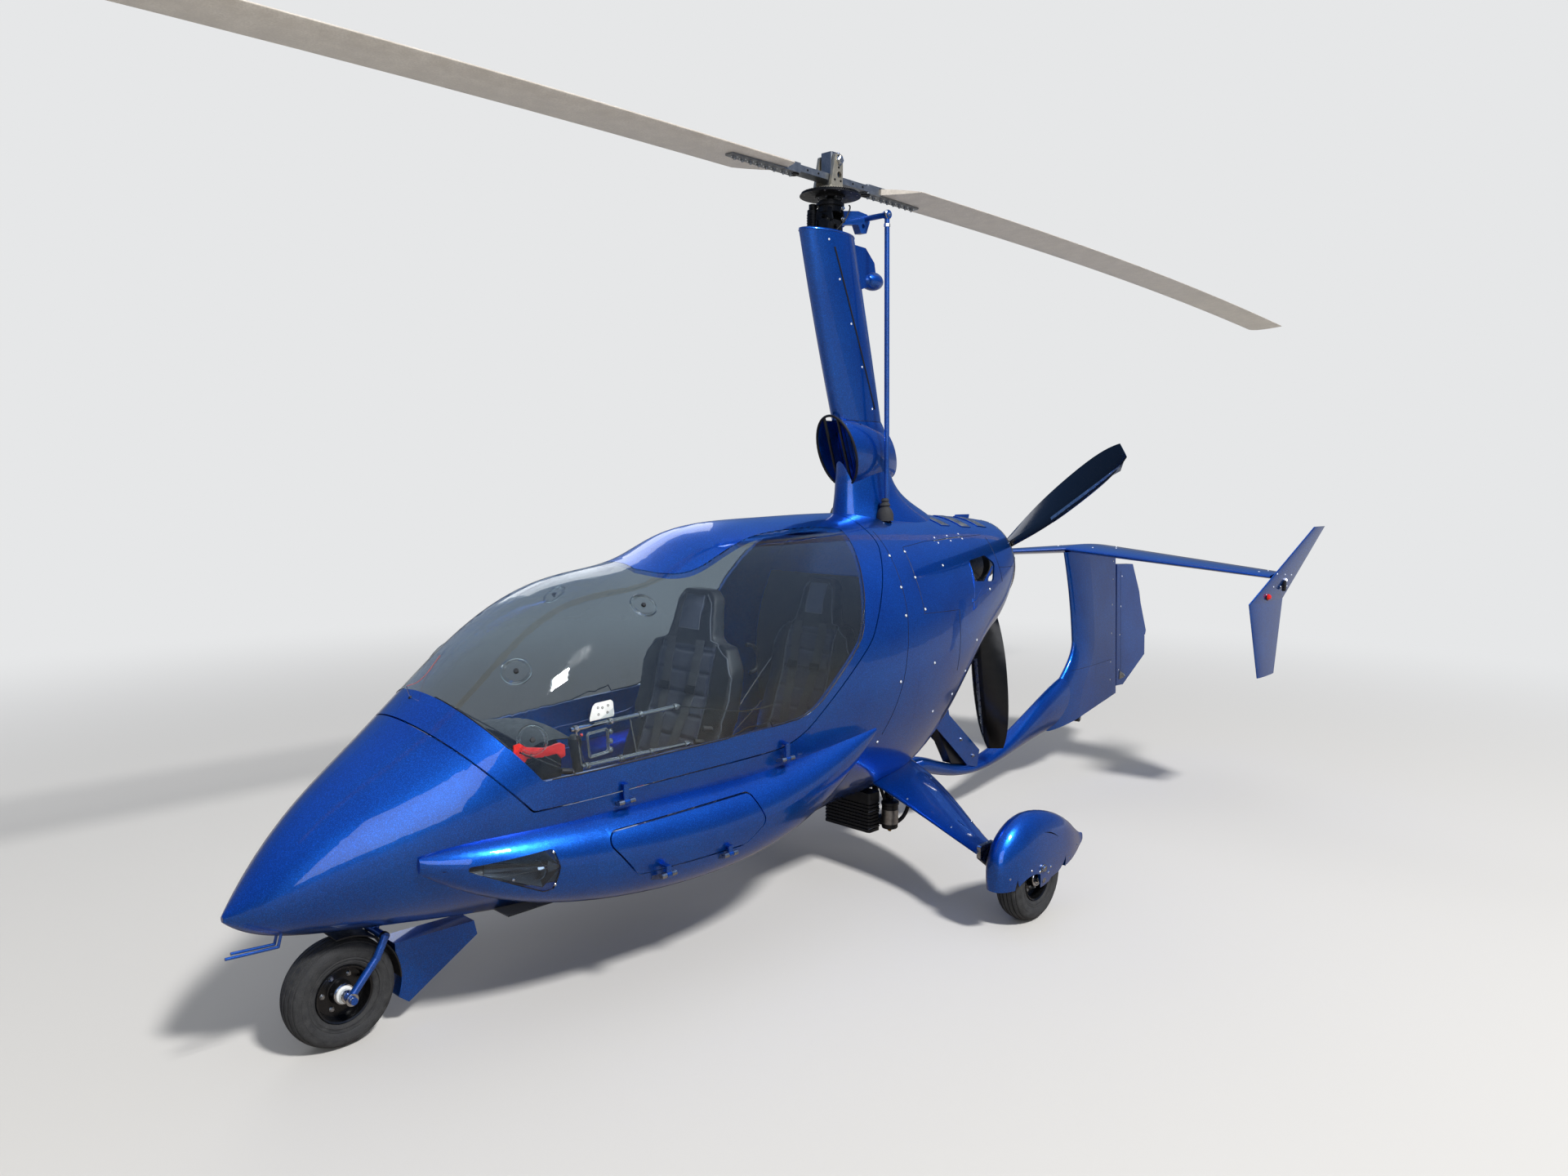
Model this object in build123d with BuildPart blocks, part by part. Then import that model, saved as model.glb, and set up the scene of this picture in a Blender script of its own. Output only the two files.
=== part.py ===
from build123d import *
import math
import os
from collections import namedtuple

# Two-seat enclosed gyrocopter, standing on its wheels.
# Millimetres. +X is port, +Y is aft, +Z is up. The origin is on the ground under the rotor hub.

os.makedirs("parts", exist_ok=True)


def save(piece, name):
    """Label a finished piece and write it to its own file."""
    piece.part.label = name
    export_step(piece.part, f"parts/{name}.step")


# Driving dimensions
ROTOR_RADIUS = 4330
ROTOR_LEVEL = 2700          # middle of the hub bar and of the blades at their roots
TEETER_LEVEL = 2765         # teeter bolt, above the bar it carries
PROP_RADIUS = 868
PROP_Y = 1098
THRUST_LEVEL = 1167
WALL = 8                    # moulded body shell
SHUT_GAP = 5                # round every lid and door
GLASS = 5                   # moulded canopy window
FRAME_DEPTH = 18            # canopy frame, inside to outside
MAIN_AXLE_Y = 100
MAIN_WHEEL_X = 890
MAIN_WHEEL_RADIUS = 155
NOSE_AXLE_Y = -2008
NOSE_WHEEL_RADIUS = 152
BOLT_FIT = 0.05             # radial play of shafts and pins
COWL_SEAM_Y = 45            # where the cabin moulding ends and the engine cowling starts
COWL_END_Y = 1045
FIREWALL = 8

# Outer body, station by station: the oval's half-width, its lowest point, the level where it
# is widest and its highest point
Station = namedtuple("Station", "y half bottom wide top")
BODY = [
    Station(-2300, 8, 430, 438, 446),
    Station(-2230, 78, 382, 455, 538),
    Station(-2080, 165, 342, 500, 700),
    Station(-1830, 282, 306, 585, 892),
    Station(-1560, 362, 270, 655, 1112),
    Station(-1200, 398, 246, 725, 1262),
    Station(-800, 428, 236, 780, 1374),
    Station(-350, 440, 244, 815, 1418),
    Station(100, 428, 288, 850, 1425),
    Station(350, 392, 360, 905, 1418),
    Station(600, 340, 592, 990, 1408),
    Station(820, 285, 778, 1075, 1398),
    Station(COWL_END_Y, 212, 953, 1165, 1377),
]


def cross_plane(y):
    """Plane across the machine at a station, drawn with X to the right and Z up."""
    return Plane(origin=(0, y, 0), x_dir=(1, 0, 0), z_dir=(0, -1, 0))


def oval(y, half, bottom, wide, top, x=0):
    """Egg-shaped section across the machine, made of four quarter ellipses."""
    with BuildSketch(cross_plane(y)) as section:
        with BuildLine():
            for start in (0, 90):
                EllipticalCenterArc((x, wide), half, top - wide, start, arc_size=90)
            for start in (180, 270):
                EllipticalCenterArc((x, wide), half, wide - bottom, start, arc_size=90)
        make_face()
    return section.sketch


def body_loft(inset):
    """The body's skin moved in by a distance, as a closed solid."""
    tip = BODY[0]
    share = 1 - inset / (2 * WALL + 4)
    with BuildPart() as body:
        loft(sections=[
            oval(tip.y + inset, tip.half * share, tip.wide - tip.half * share, tip.wide,
                 tip.wide + tip.half * share),
            *(oval(s.y, s.half - inset, s.bottom + inset, s.wide, s.top - inset)
              for s in BODY[1:]),
        ])
    return body.part


def side_block(points, radii, reach=700):
    """Solid whose outline, seen from the side, has rounded corners, right across the machine."""
    with BuildPart() as block:
        with BuildSketch(Plane.YZ):
            with BuildLine():
                FilletPolyline(*points, radius=radii, close=True)
            make_face()
        extrude(amount=reach, both=True)
    return block.part


OUTER = body_loft(0)
INNER = body_loft(WALL)

# Canopy opening seen from the side: nose end, front corner, sill, and the curve up the back
CANOPY_OUTLINE = [
    (-1838, 1600), (-1838, 893), (-1606, 640), (-620, 672), (-225, 985), (15, 1320), (15, 1600),
]
CANOPY_RADII = [5, 5, 18, 330, 300, 90, 5]


def shrink(points, radii, gap):
    """Same outline drawn in by a gap, for the lid that fills an opening."""
    with BuildPart() as block:
        with BuildSketch(Plane.YZ):
            with BuildLine():
                FilletPolyline(*points, radius=radii, close=True)
            make_face()
            offset(amount=-gap, kind=Kind.ARC)
        extrude(amount=700, both=True)
    return block.part


CANOPY_OPENING = side_block(CANOPY_OUTLINE, CANOPY_RADII)
CANOPY_LID = shrink(CANOPY_OUTLINE, CANOPY_RADII, SHUT_GAP)

# Side bulge with the landing lamp at its front and a locker in its middle
Bulge = namedtuple("Bulge", "y x half bottom wide top")
BULGE = [
    Bulge(-1900, 262, 8, 520, 540, 560),
    Bulge(-1760, 290, 68, 436, 520, 588),
    Bulge(-1500, 322, 108, 352, 486, 604),
    Bulge(-1150, 348, 124, 312, 468, 604),
    Bulge(-800, 360, 122, 326, 484, 612),
    Bulge(-480, 378, 82, 424, 548, 640),
    Bulge(-200, 420, 10, 646, 656, 666),
]


def bulge_loft(inset, side):
    """Side bulge of one flank, moved in by a distance."""
    rows = BULGE if inset == 0 else BULGE[1:-1]
    with BuildPart() as body:
        loft(sections=[
            oval(b.y, b.half - inset, b.bottom + inset, b.wide, b.top - inset, side * b.x)
            for b in rows
        ])
    return body.part


PORT, STARBOARD = 1, -1
SIDES = (PORT, STARBOARD)
BULGES = {side: bulge_loft(0, side) for side in SIDES}
BULGE_ROOMS = {side: bulge_loft(WALL, side) for side in SIDES}

# Locker door seen from the side, its hinge along the lower edge
HATCH_HINGE_Z = 410
HATCH_OUTLINE = [(-1440, 556), (-1315, HATCH_HINGE_Z), (-905, HATCH_HINGE_Z), (-815, 470),
                 (-868, 572)]
HATCH_RADII = [30, 26, 30, 26, 26]


# Nose gear steering axis, raked back
RAKE = 20
HEAD_POINT = (0, -1890, 330)
HEAD_AXIS = (0, math.sin(math.radians(RAKE)), math.cos(math.radians(RAKE)))
KINGPIN_RADIUS = 14


def along_head(distance):
    """Plane square to the steering axis, a distance up it from the head point."""
    origin = tuple(p + distance * a for p, a in zip(HEAD_POINT, HEAD_AXIS))
    return Plane(origin=origin, x_dir=(1, 0, 0), z_dir=HEAD_AXIS)


def rod(start, end, radius):
    """Round bar between two points."""
    with BuildPart() as bar:
        axis = Vector(*end) - Vector(*start)
        with BuildSketch(Plane(origin=start, z_dir=axis)):
            Circle(radius)
        extrude(amount=axis.length)
    return bar.part


def slab(y_low, y_high, z_low=0, z_high=1600, half=700):
    """Plain block right across the machine, for trimming mouldings."""
    with BuildPart() as block:
        with BuildSketch(Plane.XY.offset(z_low)):
            with Locations((0, (y_low + y_high) / 2)):
                Rectangle(2 * half, y_high - y_low)
        extrude(amount=z_high - z_low)
    return block.part


with BuildPart() as shell_piece:
    add(OUTER)
    for side in SIDES:
        add(BULGES[side])
    add(INNER, mode=Mode.SUBTRACT)
    for side in SIDES:
        add(BULGE_ROOMS[side], mode=Mode.SUBTRACT)
SHELL = shell_piece.part

FLOOR_LEVEL = 318
STEM_HOLE = KINGPIN_RADIUS + 22

# Landing lamp windows seen from the side
LENS_OUTLINE = [(-1822, 530), (-1576, 546), (-1562, 492), (-1576, 428), (-1602, 424)]
LENS_RADII = [8, 16, 50, 8, 8]
LENS_BLOCK = side_block(LENS_OUTLINE, LENS_RADII)
HATCH_OPENING = side_block(HATCH_OUTLINE, HATCH_RADII)
HATCH_LID = shrink(HATCH_OUTLINE, HATCH_RADII, SHUT_GAP)


def outboard(block, side, inner=250):
    """The part of a block that lies outside a distance on one flank."""
    with BuildPart() as piece:
        add(block)
        with BuildSketch(Plane.YZ.offset(side * inner)):
            with Locations((-800, 800)):
                Rectangle(3400, 1800)
        extrude(amount=side * 600, mode=Mode.INTERSECT)
    return piece.part


def common(first, second):
    """What two solids share."""
    with BuildPart() as piece:
        add(first)
        add(second, mode=Mode.INTERSECT)
    return piece.part


# Cabin moulding: nose, floor and flanks in one piece, with the firewall behind the rear seat
with BuildPart() as cabin_tub:
    add(SHELL)
    add(slab(-2400, COWL_SEAM_Y), mode=Mode.INTERSECT)
    add(CANOPY_OPENING, mode=Mode.SUBTRACT)
    for side in SIDES:
        add(outboard(HATCH_OPENING, side), mode=Mode.SUBTRACT)
        add(outboard(LENS_BLOCK, side, 200), mode=Mode.SUBTRACT)
    add(common(INNER, slab(COWL_SEAM_Y - FIREWALL, COWL_SEAM_Y)))
    add(common(INNER, slab(-1500, COWL_SEAM_Y - FIREWALL, FLOOR_LEVEL - WALL, FLOOR_LEVEL)))
    with BuildSketch(along_head(-60)):
        Circle(STEM_HOLE)
    extrude(amount=90, mode=Mode.SUBTRACT)
save(cabin_tub, "cabin_tub")

with BuildPart() as landing_lenses:
    for side in SIDES:
        add(common(SHELL, outboard(LENS_BLOCK, side, 200)))
save(landing_lenses, "landing_lenses")

# Small hinges: a pin fixed in two outer knuckles, and a middle knuckle on the moving panel
PIN_RADIUS = 4
KNUCKLE_RADIUS = 8
KNUCKLE = 18                # length of each knuckle
KNUCKLE_PLAY = 1            # endways


def hinge_plane(point, along, shift=0):
    """Plane square to a hinge pin, its x axis outboard and its y axis up."""
    direction = Vector(*along).normalized()
    return Plane(origin=Vector(*point) + direction * shift, x_dir=(-direction.Y, direction.X, 0),
                 z_dir=direction)


def hinge_base(point, along, foot):
    """Fixed half of a hinge: pin and outer knuckles, with feet to a point in the pin's plane."""
    with BuildPart() as base:
        for shift in (-1.5 * KNUCKLE - KNUCKLE_PLAY, 0.5 * KNUCKLE + KNUCKLE_PLAY):
            with BuildSketch(hinge_plane(point, along, shift)):
                Circle(KNUCKLE_RADIUS)
                with BuildLine():
                    Polyline((-6, 5), (6, -5), foot, (foot[0] - 6, foot[1] + 10), close=True)
                make_face()
            extrude(amount=KNUCKLE)
        with BuildSketch(hinge_plane(point, along, -1.5 * KNUCKLE)):
            Circle(PIN_RADIUS)
        extrude(amount=3 * KNUCKLE)
    return base.part


def hinge_arm(point, along, rise, reach):
    """Moving half of a hinge: the middle knuckle and an arm up and in to the panel."""
    with BuildPart() as arm:
        with BuildSketch(hinge_plane(point, along, -0.5 * KNUCKLE)):
            Circle(KNUCKLE_RADIUS)
            with BuildLine():
                Polyline((-3, 0), (3, 0), (3, rise + 5), (reach, rise + 5), (reach, rise),
                         (-3, rise), close=True)
            make_face()
            Circle(PIN_RADIUS + BOLT_FIT, mode=Mode.SUBTRACT)
        extrude(amount=KNUCKLE)
    return arm.part


# Locker doors, each on two hinges below its lower edge; x of each arm's end from the pin
HATCH_PIN = (487, HATCH_HINGE_Z - 6)
HATCH_HINGES = [(-1235, -37), (-985, -28)]
for side, name in zip(SIDES, ("port", "starboard")):
    with BuildPart() as hatch:
        add(common(SHELL, outboard(HATCH_LID, side)))
        for y, reach in HATCH_HINGES:
            add(hinge_arm((side * HATCH_PIN[0], y, HATCH_PIN[1]), (0, -side, 0), 22, reach))
    save(hatch, f"locker_door_{name}")
with BuildPart() as locker_hinges:
    for side in SIDES:
        for y, reach in HATCH_HINGES:
            add(hinge_base((side * HATCH_PIN[0], y, HATCH_PIN[1]), (0, -side, 0), (-55, -24)))
    add(OUTER, mode=Mode.SUBTRACT)
    for side in SIDES:
        add(BULGES[side], mode=Mode.SUBTRACT)
save(locker_hinges, "locker_hinges")

# Canopy: a painted frame with the roof strip, round one moulded window
CANOPY_INNER = body_loft(FRAME_DEPTH)
GLASS_INNER = body_loft(GLASS)
GLASS_OUTLINE = [
    (-1756, 1600), (-1756, 955), (-1572, 722), (-560, 762), (-272, 1000), (-125, 1352), (-125, 1600),
]
GLASS_RADII = [5, 5, 18, 220, 260, 60, 5]
# Painted roof strip seen from above: half-widths along the machine
ROOF_STRIP = [(-1045, 100), (-900, 205), (-600, 172), (-400, 152), (-200, 160), (-60, 205)]
GLASS_BLOCK = side_block(GLASS_OUTLINE, GLASS_RADII)
with BuildPart() as strip_piece:
    with BuildSketch(Plane.XY.offset(1100)):
        with BuildLine():
            nose = ROOF_STRIP[0]
            Line((-nose[1], nose[0]), (nose[1], nose[0]))
            Spline(*[(h, y) for y, h in ROOF_STRIP])
            Line((ROOF_STRIP[-1][1], ROOF_STRIP[-1][0]), (ROOF_STRIP[-1][1], 100))
            Line((ROOF_STRIP[-1][1], 100), (-ROOF_STRIP[-1][1], 100))
            Line((-ROOF_STRIP[-1][1], 100), (-ROOF_STRIP[-1][1], ROOF_STRIP[-1][0]))
            Spline(*[(-h, y) for y, h in reversed(ROOF_STRIP)])
        make_face()
    extrude(amount=500)
STRIP = strip_piece.part
with BuildPart() as window_region:
    add(GLASS_BLOCK)
    add(STRIP, mode=Mode.SUBTRACT)
WINDOW = window_region.part

# The canopy opens to port about two hinges outside the sill
CANOPY_HINGES = [(400, -1320, 622), (440, -680, 640)]
CANOPY_PIN = tuple(a - b for a, b in zip(*CANOPY_HINGES))
with BuildPart() as canopy_frame:
    add(OUTER)
    add(CANOPY_INNER, mode=Mode.SUBTRACT)
    add(CANOPY_LID, mode=Mode.INTERSECT)
    add(WINDOW, mode=Mode.SUBTRACT)
    for point in CANOPY_HINGES:
        add(hinge_arm(point, CANOPY_PIN, 48, -26))
save(canopy_frame, "canopy_frame")

with BuildPart() as canopy_hinges:
    for point in CANOPY_HINGES:
        add(hinge_base(point, CANOPY_PIN, (-40, -14)))
    add(OUTER, mode=Mode.SUBTRACT)
    for side in SIDES:
        add(BULGES[side], mode=Mode.SUBTRACT)
save(canopy_hinges, "canopy_hinges")

with BuildPart() as canopy_glass:
    add(OUTER)
    add(GLASS_INNER, mode=Mode.SUBTRACT)
    add(WINDOW, mode=Mode.INTERSECT)
save(canopy_glass, "canopy_glass")

# Engine cowling and the metal ring round its open end
SCOOP_OUTLINE = [(580, 1226), (730, 1240), (800, 1203), (750, 1130), (562, 1143)]
SIDE_SCOOP = side_block(SCOOP_OUTLINE, [16, 20, 16, 20, 16])
with BuildPart() as engine_cowl:
    add(SHELL)
    add(slab(COWL_SEAM_Y + 0.2, COWL_END_Y + 5), mode=Mode.INTERSECT)
    for side in SIDES:
        add(outboard(SIDE_SCOOP, side, 150), mode=Mode.SUBTRACT)
save(engine_cowl, "engine_cowl")

RING_OUTER = 212
with BuildPart() as cowl_ring:
    with BuildSketch(Plane.XZ.offset(-COWL_END_Y)):
        with Locations((0, THRUST_LEVEL - 2)):
            Circle(RING_OUTER)
            Circle(RING_OUTER - 16, mode=Mode.SUBTRACT)
    extrude(amount=-14)
    fillet(cowl_ring.edges().filter_by(GeomType.CIRCLE).group_by(Axis.Y)[-1], radius=5)
save(cowl_ring, "cowl_ring")

# Mast: level, front edge, rear edge, half-width
Mast = namedtuple("Mast", "z front rear half")
MAST = [
    Mast(1790, 42, 312, 62),
    Mast(2100, -54, 234, 62),
    Mast(2500, -160, 124, 66),
]
BASE = [
    Mast(1340, 60, 700, 150),
    Mast(1440, 66, 560, 112),
    Mast(1540, 74, 400, 84),
    Mast(1660, 68, 352, 74),
    Mast(1790, 42, 312, 64),
]


def mast_section(row, inset=0):
    """Rounded fairing section, level, its nose forward."""
    middle = (row.front + row.rear) / 2
    with BuildSketch(Plane.XY.offset(row.z)) as section:
        with Locations((0, middle)):
            Ellipse(row.half - inset, (row.rear - row.front) / 2 - inset)
    return section.sketch


with BuildPart() as mast_solid:
    loft(sections=[mast_section(row) for row in MAST])
MAST_OUTSIDE = mast_solid.part
with BuildPart() as mast_fairing:
    add(MAST_OUTSIDE)
    loft(sections=[mast_section(row, 6) for row in MAST], mode=Mode.SUBTRACT)
save(mast_fairing, "mast_fairing")

SCOOP_TOP, SCOOP_LOW = 1815, 1522
SCOOP_HALF = 100
SCOOP_LEAN = math.degrees(math.atan2(105, SCOOP_TOP - SCOOP_LOW))


def scoop_plane(distance):
    """Plane of the air scoop's mouth, leaning with the mast, moved aft by a distance."""
    return Plane(origin=(0, 58 + distance, (SCOOP_TOP + SCOOP_LOW) / 2), x_dir=(1, 0, 0),
                 z_dir=(0, -math.cos(math.radians(SCOOP_LEAN)), -math.sin(math.radians(SCOOP_LEAN))))


def scoop_section(distance, half, height):
    """Oval section of the air scoop."""
    with BuildSketch(scoop_plane(distance)) as section:
        Ellipse(half, height)
    return section.sketch


with BuildPart() as mast_base:
    loft(sections=[mast_section(row) for row in BASE])
    loft(sections=[scoop_section(0, SCOOP_HALF, 150), scoop_section(150, 96, 146),
                   scoop_section(300, 60, 110)])
    loft(sections=[scoop_section(-1, SCOOP_HALF - 6, 144), scoop_section(110, 84, 130)],
         mode=Mode.SUBTRACT)
    add(OUTER, mode=Mode.SUBTRACT)
    with BuildSketch(Plane.XY.offset(1790)):
        with Locations((0, 200)):
            Rectangle(400, 900)
    extrude(amount=200, mode=Mode.SUBTRACT)
save(mast_base, "mast_base")

# Rotor head: mast tube, pitch and roll gimbal, and the spindle that carries the rotor
ROD_TOP, ROD_FOOT = (120, 200, 2577), (125, 225, 1330)
with BuildPart() as mast_tube:
    with BuildSketch(Plane.XY.offset(1800)):
        with Locations((0, 176)):
            Rectangle(50, 100)
    with BuildSketch(Plane.XY.offset(2490)):
        with Locations((0, -16)):
            Rectangle(50, 90)
    loft()
save(mast_tube, "mast_tube")

SPINDLE_RADIUS = 14
with BuildPart() as rotor_gimbal:
    # Cheek plates on the mast, and the roll bolt through them
    for side in SIDES:
        with BuildSketch(Plane.YZ.offset(side * 25)):
            with BuildLine():
                FilletPolyline((-60, 2440), (40, 2440), (28, 2548), (-44, 2548), radius=12, close=True)
            make_face()
        extrude(amount=side * 8)
    with BuildSketch(Plane.XY.offset(2494)):
        with Locations((0, -6)):
            RectangleRounded(49.8, 74, 6)
    extrude(amount=56)
    add(rod((-46, -8, 2524), (46, -8, 2524), 8))
    # Pitch yoke and its bolt
    for end in (-1, 1):
        with BuildSketch(Plane.XZ.offset(end * 34 - 4)):
            with BuildLine():
                FilletPolyline((-46, 2540), (46, 2540), (34, 2592), (-34, 2592), radius=8, close=True)
            make_face()
        extrude(amount=8)
    add(rod((0, -54, 2560), (0, 54, 2560), 8))
    # Bearing housing with its flange
    with BuildSketch(Plane.XY.offset(2576)):
        Circle(44)
    extrude(amount=44)
    with BuildSketch(Plane.XY.offset(2600)):
        Circle(54)
        with PolarLocations(48, 6):
            Circle(3, mode=Mode.SUBTRACT)
    extrude(amount=10)
    with BuildSketch(Plane.XY.offset(2620)):
        Circle(SPINDLE_RADIUS)
    extrude(amount=35)
save(rotor_gimbal, "rotor_gimbal")

# Pitch yoke aft of the gimbal, with the cross bar that the push rods move
with BuildPart() as pitch_yoke:
    x, y, z = ROD_TOP
    with BuildSketch(Plane.YZ):
        with BuildLine():
            FilletPolyline((38, 2536), (38, 2590), (150, 2608), (206, 2604), (222, z), (202, 2530),
                           (168, 2526), (150, 2556), (96, 2548), radius=4, close=True)
        make_face()
        with Locations((182, z - 22)):
            Circle(9, mode=Mode.SUBTRACT)
    extrude(amount=16, both=True)
    add(rod((-x, y, z + 10), (x, y, z + 10), 11))
    for side in SIDES:
        add(rod((side * (x - 12), y, z + 10), (side * (x + 12), y, z + 10), 15))
    add(rotor_gimbal.part, mode=Mode.SUBTRACT)
save(pitch_yoke, "pitch_yoke")

with BuildPart() as push_rods:
    for side in SIDES:
        x, y, z = ROD_TOP
        add(rod((side * ROD_FOOT[0], ROD_FOOT[1], ROD_FOOT[2]), (side * x, y, z), 10))
    add(OUTER, mode=Mode.SUBTRACT)
    add(mast_base.part, mode=Mode.SUBTRACT)
    add(pitch_yoke.part, mode=Mode.SUBTRACT)
save(push_rods, "push_rods")

# Beacon pod on the back of the mast: a fin plate with a rounded lamp body below it
BEACON = (0, 258, 2354)
with BuildPart() as mast_beacon:
    with BuildSketch(Plane.YZ):
        with BuildLine():
            FilletPolyline((90, 2478), (200, 2474), (256, 2424), (268, 2372), (230, 2330), (150, 2300),
                           radius=10, close=True)
        make_face()
    extrude(amount=15, both=True)
    with BuildSketch(Plane(origin=BEACON, x_dir=(0, 1, 0), z_dir=(1, 0, 0))):
        with BuildLine():
            EllipticalCenterArc((0, 0), 60, 37, 0, arc_size=180)
            Line((-60, 0), (60, 0))
        make_face()
    revolve(axis=Axis(BEACON, (0, 1, 0)))
    add(MAST_OUTSIDE, mode=Mode.SUBTRACT)
save(mast_beacon, "mast_beacon")

# Ring gear of the rotor's prerotation drive: a thin flange under a toothed wheel
GEAR_TEETH = 72
GEAR_RADIUS = 112
TOOTH_DEPTH = 6
with BuildPart() as ring_gear:
    with BuildSketch(Plane.XY.offset(2637)):
        Circle(GEAR_RADIUS + 6)
    extrude(amount=3)
    with BuildSketch(Plane.XY.offset(2640)):
        Circle(GEAR_RADIUS)
        with PolarLocations(GEAR_RADIUS, GEAR_TEETH):
            Rectangle(2 * TOOTH_DEPTH, math.pi * GEAR_RADIUS / GEAR_TEETH, mode=Mode.SUBTRACT)
        with PolarLocations(80, 8):
            Circle(18, mode=Mode.SUBTRACT)
    extrude(amount=9)
    with BuildSketch(Plane.XY.offset(2630)):
        Circle(58)
    extrude(amount=26)
    with BuildSketch(Plane.XY.offset(2630)):
        Circle(SPINDLE_RADIUS + BOLT_FIT)
    extrude(amount=40, mode=Mode.SUBTRACT)
save(ring_gear, "ring_gear")

TOWER_GAP = 33              # from the middle to a tower plate's inner face
TOWER_PLATE = 12
with BuildPart() as hub_towers:
    with BuildSketch(Plane.XY.offset(2656)):
        Circle(72)
    extrude(amount=5)
    with BuildSketch(Plane.XY.offset(2661)):
        RectangleRounded(2 * (TOWER_GAP + TOWER_PLATE) + 8, 108, 10)
    extrude(amount=6)
    for side in SIDES:
        with BuildSketch(Plane.YZ.offset(side * TOWER_GAP)):
            with BuildLine():
                FilletPolyline((-50, 2660), (20, 2660), (20, TEETER_LEVEL + 22), (-24, TEETER_LEVEL + 22),
                               radius=8, close=True)
            make_face()
            with Locations((0, 2712)):
                Circle(12, mode=Mode.SUBTRACT)
        extrude(amount=side * TOWER_PLATE)
    with BuildSketch(Plane.YZ):
        with Locations((0, TEETER_LEVEL)):
            Circle(9 + BOLT_FIT)
    extrude(amount=90, both=True, mode=Mode.SUBTRACT)
save(hub_towers, "hub_towers")

BAR_HALF = 12
BLADE_START = 270
BLADE_FLAT_END = 600
BLADE_CHORD = 220
BLADE_AXIS_SHARE = 0.30     # of the chord, ahead of the blade's axis
with BuildPart() as hub_bar:
    with BuildSketch(Plane.XY.offset(ROTOR_LEVEL - BAR_HALF)):
        RectangleRounded(2 * TOWER_GAP - 10, 2 * BLADE_START - 2, 8)
    extrude(amount=2 * BAR_HALF)
    with BuildSketch(Plane.XY.offset(ROTOR_LEVEL)):
        RectangleRounded(2 * TOWER_GAP - 10, 56, 8)
    extrude(amount=TEETER_LEVEL + 32 - ROTOR_LEVEL)
    with BuildSketch(Plane.YZ):
        with Locations((0, TEETER_LEVEL)):
            Circle(9)
    extrude(amount=TOWER_GAP + TOWER_PLATE + 12, both=True)
save(hub_bar, "hub_bar")

STRAP = 6
STRAP_BOLTS = (225, 262, 310, 350, 390, 430, 470, 510)
with BuildPart() as blade_straps:
    for level in (ROTOR_LEVEL - BAR_HALF - STRAP, ROTOR_LEVEL + BAR_HALF):
        with BuildSketch(Plane.XY.offset(level)):
            for end in (-1, 1):
                with BuildLine():
                    FilletPolyline((-28, end * 192), (28, end * 192), (28, end * 300), (20, end * 540),
                                   (-20, end * 540), (-28, end * 300), radius=9, close=True)
                make_face()
        extrude(amount=STRAP)
    for end in (-1, 1):
        for reach in STRAP_BOLTS:
            for level in (ROTOR_LEVEL - BAR_HALF - STRAP - 7, ROTOR_LEVEL + BAR_HALF + STRAP):
                with BuildSketch(Plane.XY.offset(level)):
                    with Locations((0, end * reach)):
                        RegularPolygon(9, 6)
                extrude(amount=7)
save(blade_straps, "blade_straps")


def foil(chord, thickness, trailing=2.0, share=BLADE_AXIS_SHARE):
    """Aerofoil outline, nose to the left, about the blade's axis."""
    nose = -share * chord
    crest = nose + 0.3 * chord
    tail = nose + chord
    with BuildLine() as outline:
        EllipticalCenterArc((crest, 0), crest - nose, thickness / 2, 90, arc_size=180)
        TangentArc((crest, thickness / 2), (tail, trailing / 2), tangent=(1, 0))
        Line((tail, trailing / 2), (tail, -trailing / 2))
        TangentArc((crest, -thickness / 2), (tail, -trailing / 2), tangent=(1, 0))
    return outline.line


BLADE_SAG = 120
SAG_RADIUS = ((ROTOR_RADIUS - BLADE_FLAT_END) ** 2 + BLADE_SAG ** 2) / (2 * BLADE_SAG)
SAG_ANGLE = math.degrees(math.asin((ROTOR_RADIUS - BLADE_FLAT_END) / SAG_RADIUS))
# The rotor turns anticlockwise seen from above, so each blade's nose leads that way
for end, name in ((-1, "fore"), (1, "aft")):
    root_plane = Plane(origin=(0, end * BLADE_START, ROTOR_LEVEL), x_dir=(end, 0, 0),
                       z_dir=(0, end, 0))
    bend_plane = Plane(origin=(0, end * BLADE_FLAT_END, ROTOR_LEVEL), x_dir=(end, 0, 0),
                       z_dir=(0, end, 0))
    with BuildPart() as blade:
        with BuildSketch(root_plane):
            add(foil(BLADE_CHORD, 2 * BAR_HALF))
            make_face()
        extrude(amount=BLADE_FLAT_END - BLADE_START)
        with BuildSketch(bend_plane):
            add(foil(BLADE_CHORD, 2 * BAR_HALF))
            make_face()
        revolve(axis=Axis((0, end * BLADE_FLAT_END, ROTOR_LEVEL - SAG_RADIUS), (-end, 0, 0)),
                revolution_arc=SAG_ANGLE)
        # The rear corner of the root is cut away at a slant
        with BuildSketch(Plane.XY.offset(ROTOR_LEVEL - 30)):
            with BuildLine():
                Polyline((end * 30, end * 268), (end * 170, end * 268), (end * 170, end * 390), close=True)
            make_face()
        extrude(amount=60, mode=Mode.SUBTRACT)
    save(blade, f"rotor_blade_{name}")

# Propeller, its shaft and the engine ahead of it
SHAFT_RADIUS = 18
PROP_HUB_RADIUS = 66
with BuildPart() as propeller_hub:
    with BuildSketch(Plane.XZ.offset(-(PROP_Y - 26))):
        with Locations((0, THRUST_LEVEL)):
            Circle(PROP_HUB_RADIUS)
            Circle(SHAFT_RADIUS + BOLT_FIT, mode=Mode.SUBTRACT)
    extrude(amount=-52)
    fillet(propeller_hub.edges().filter_by(GeomType.CIRCLE).sort_by(SortBy.RADIUS)[-2:], radius=6)
save(propeller_hub, "propeller_hub")

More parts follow.
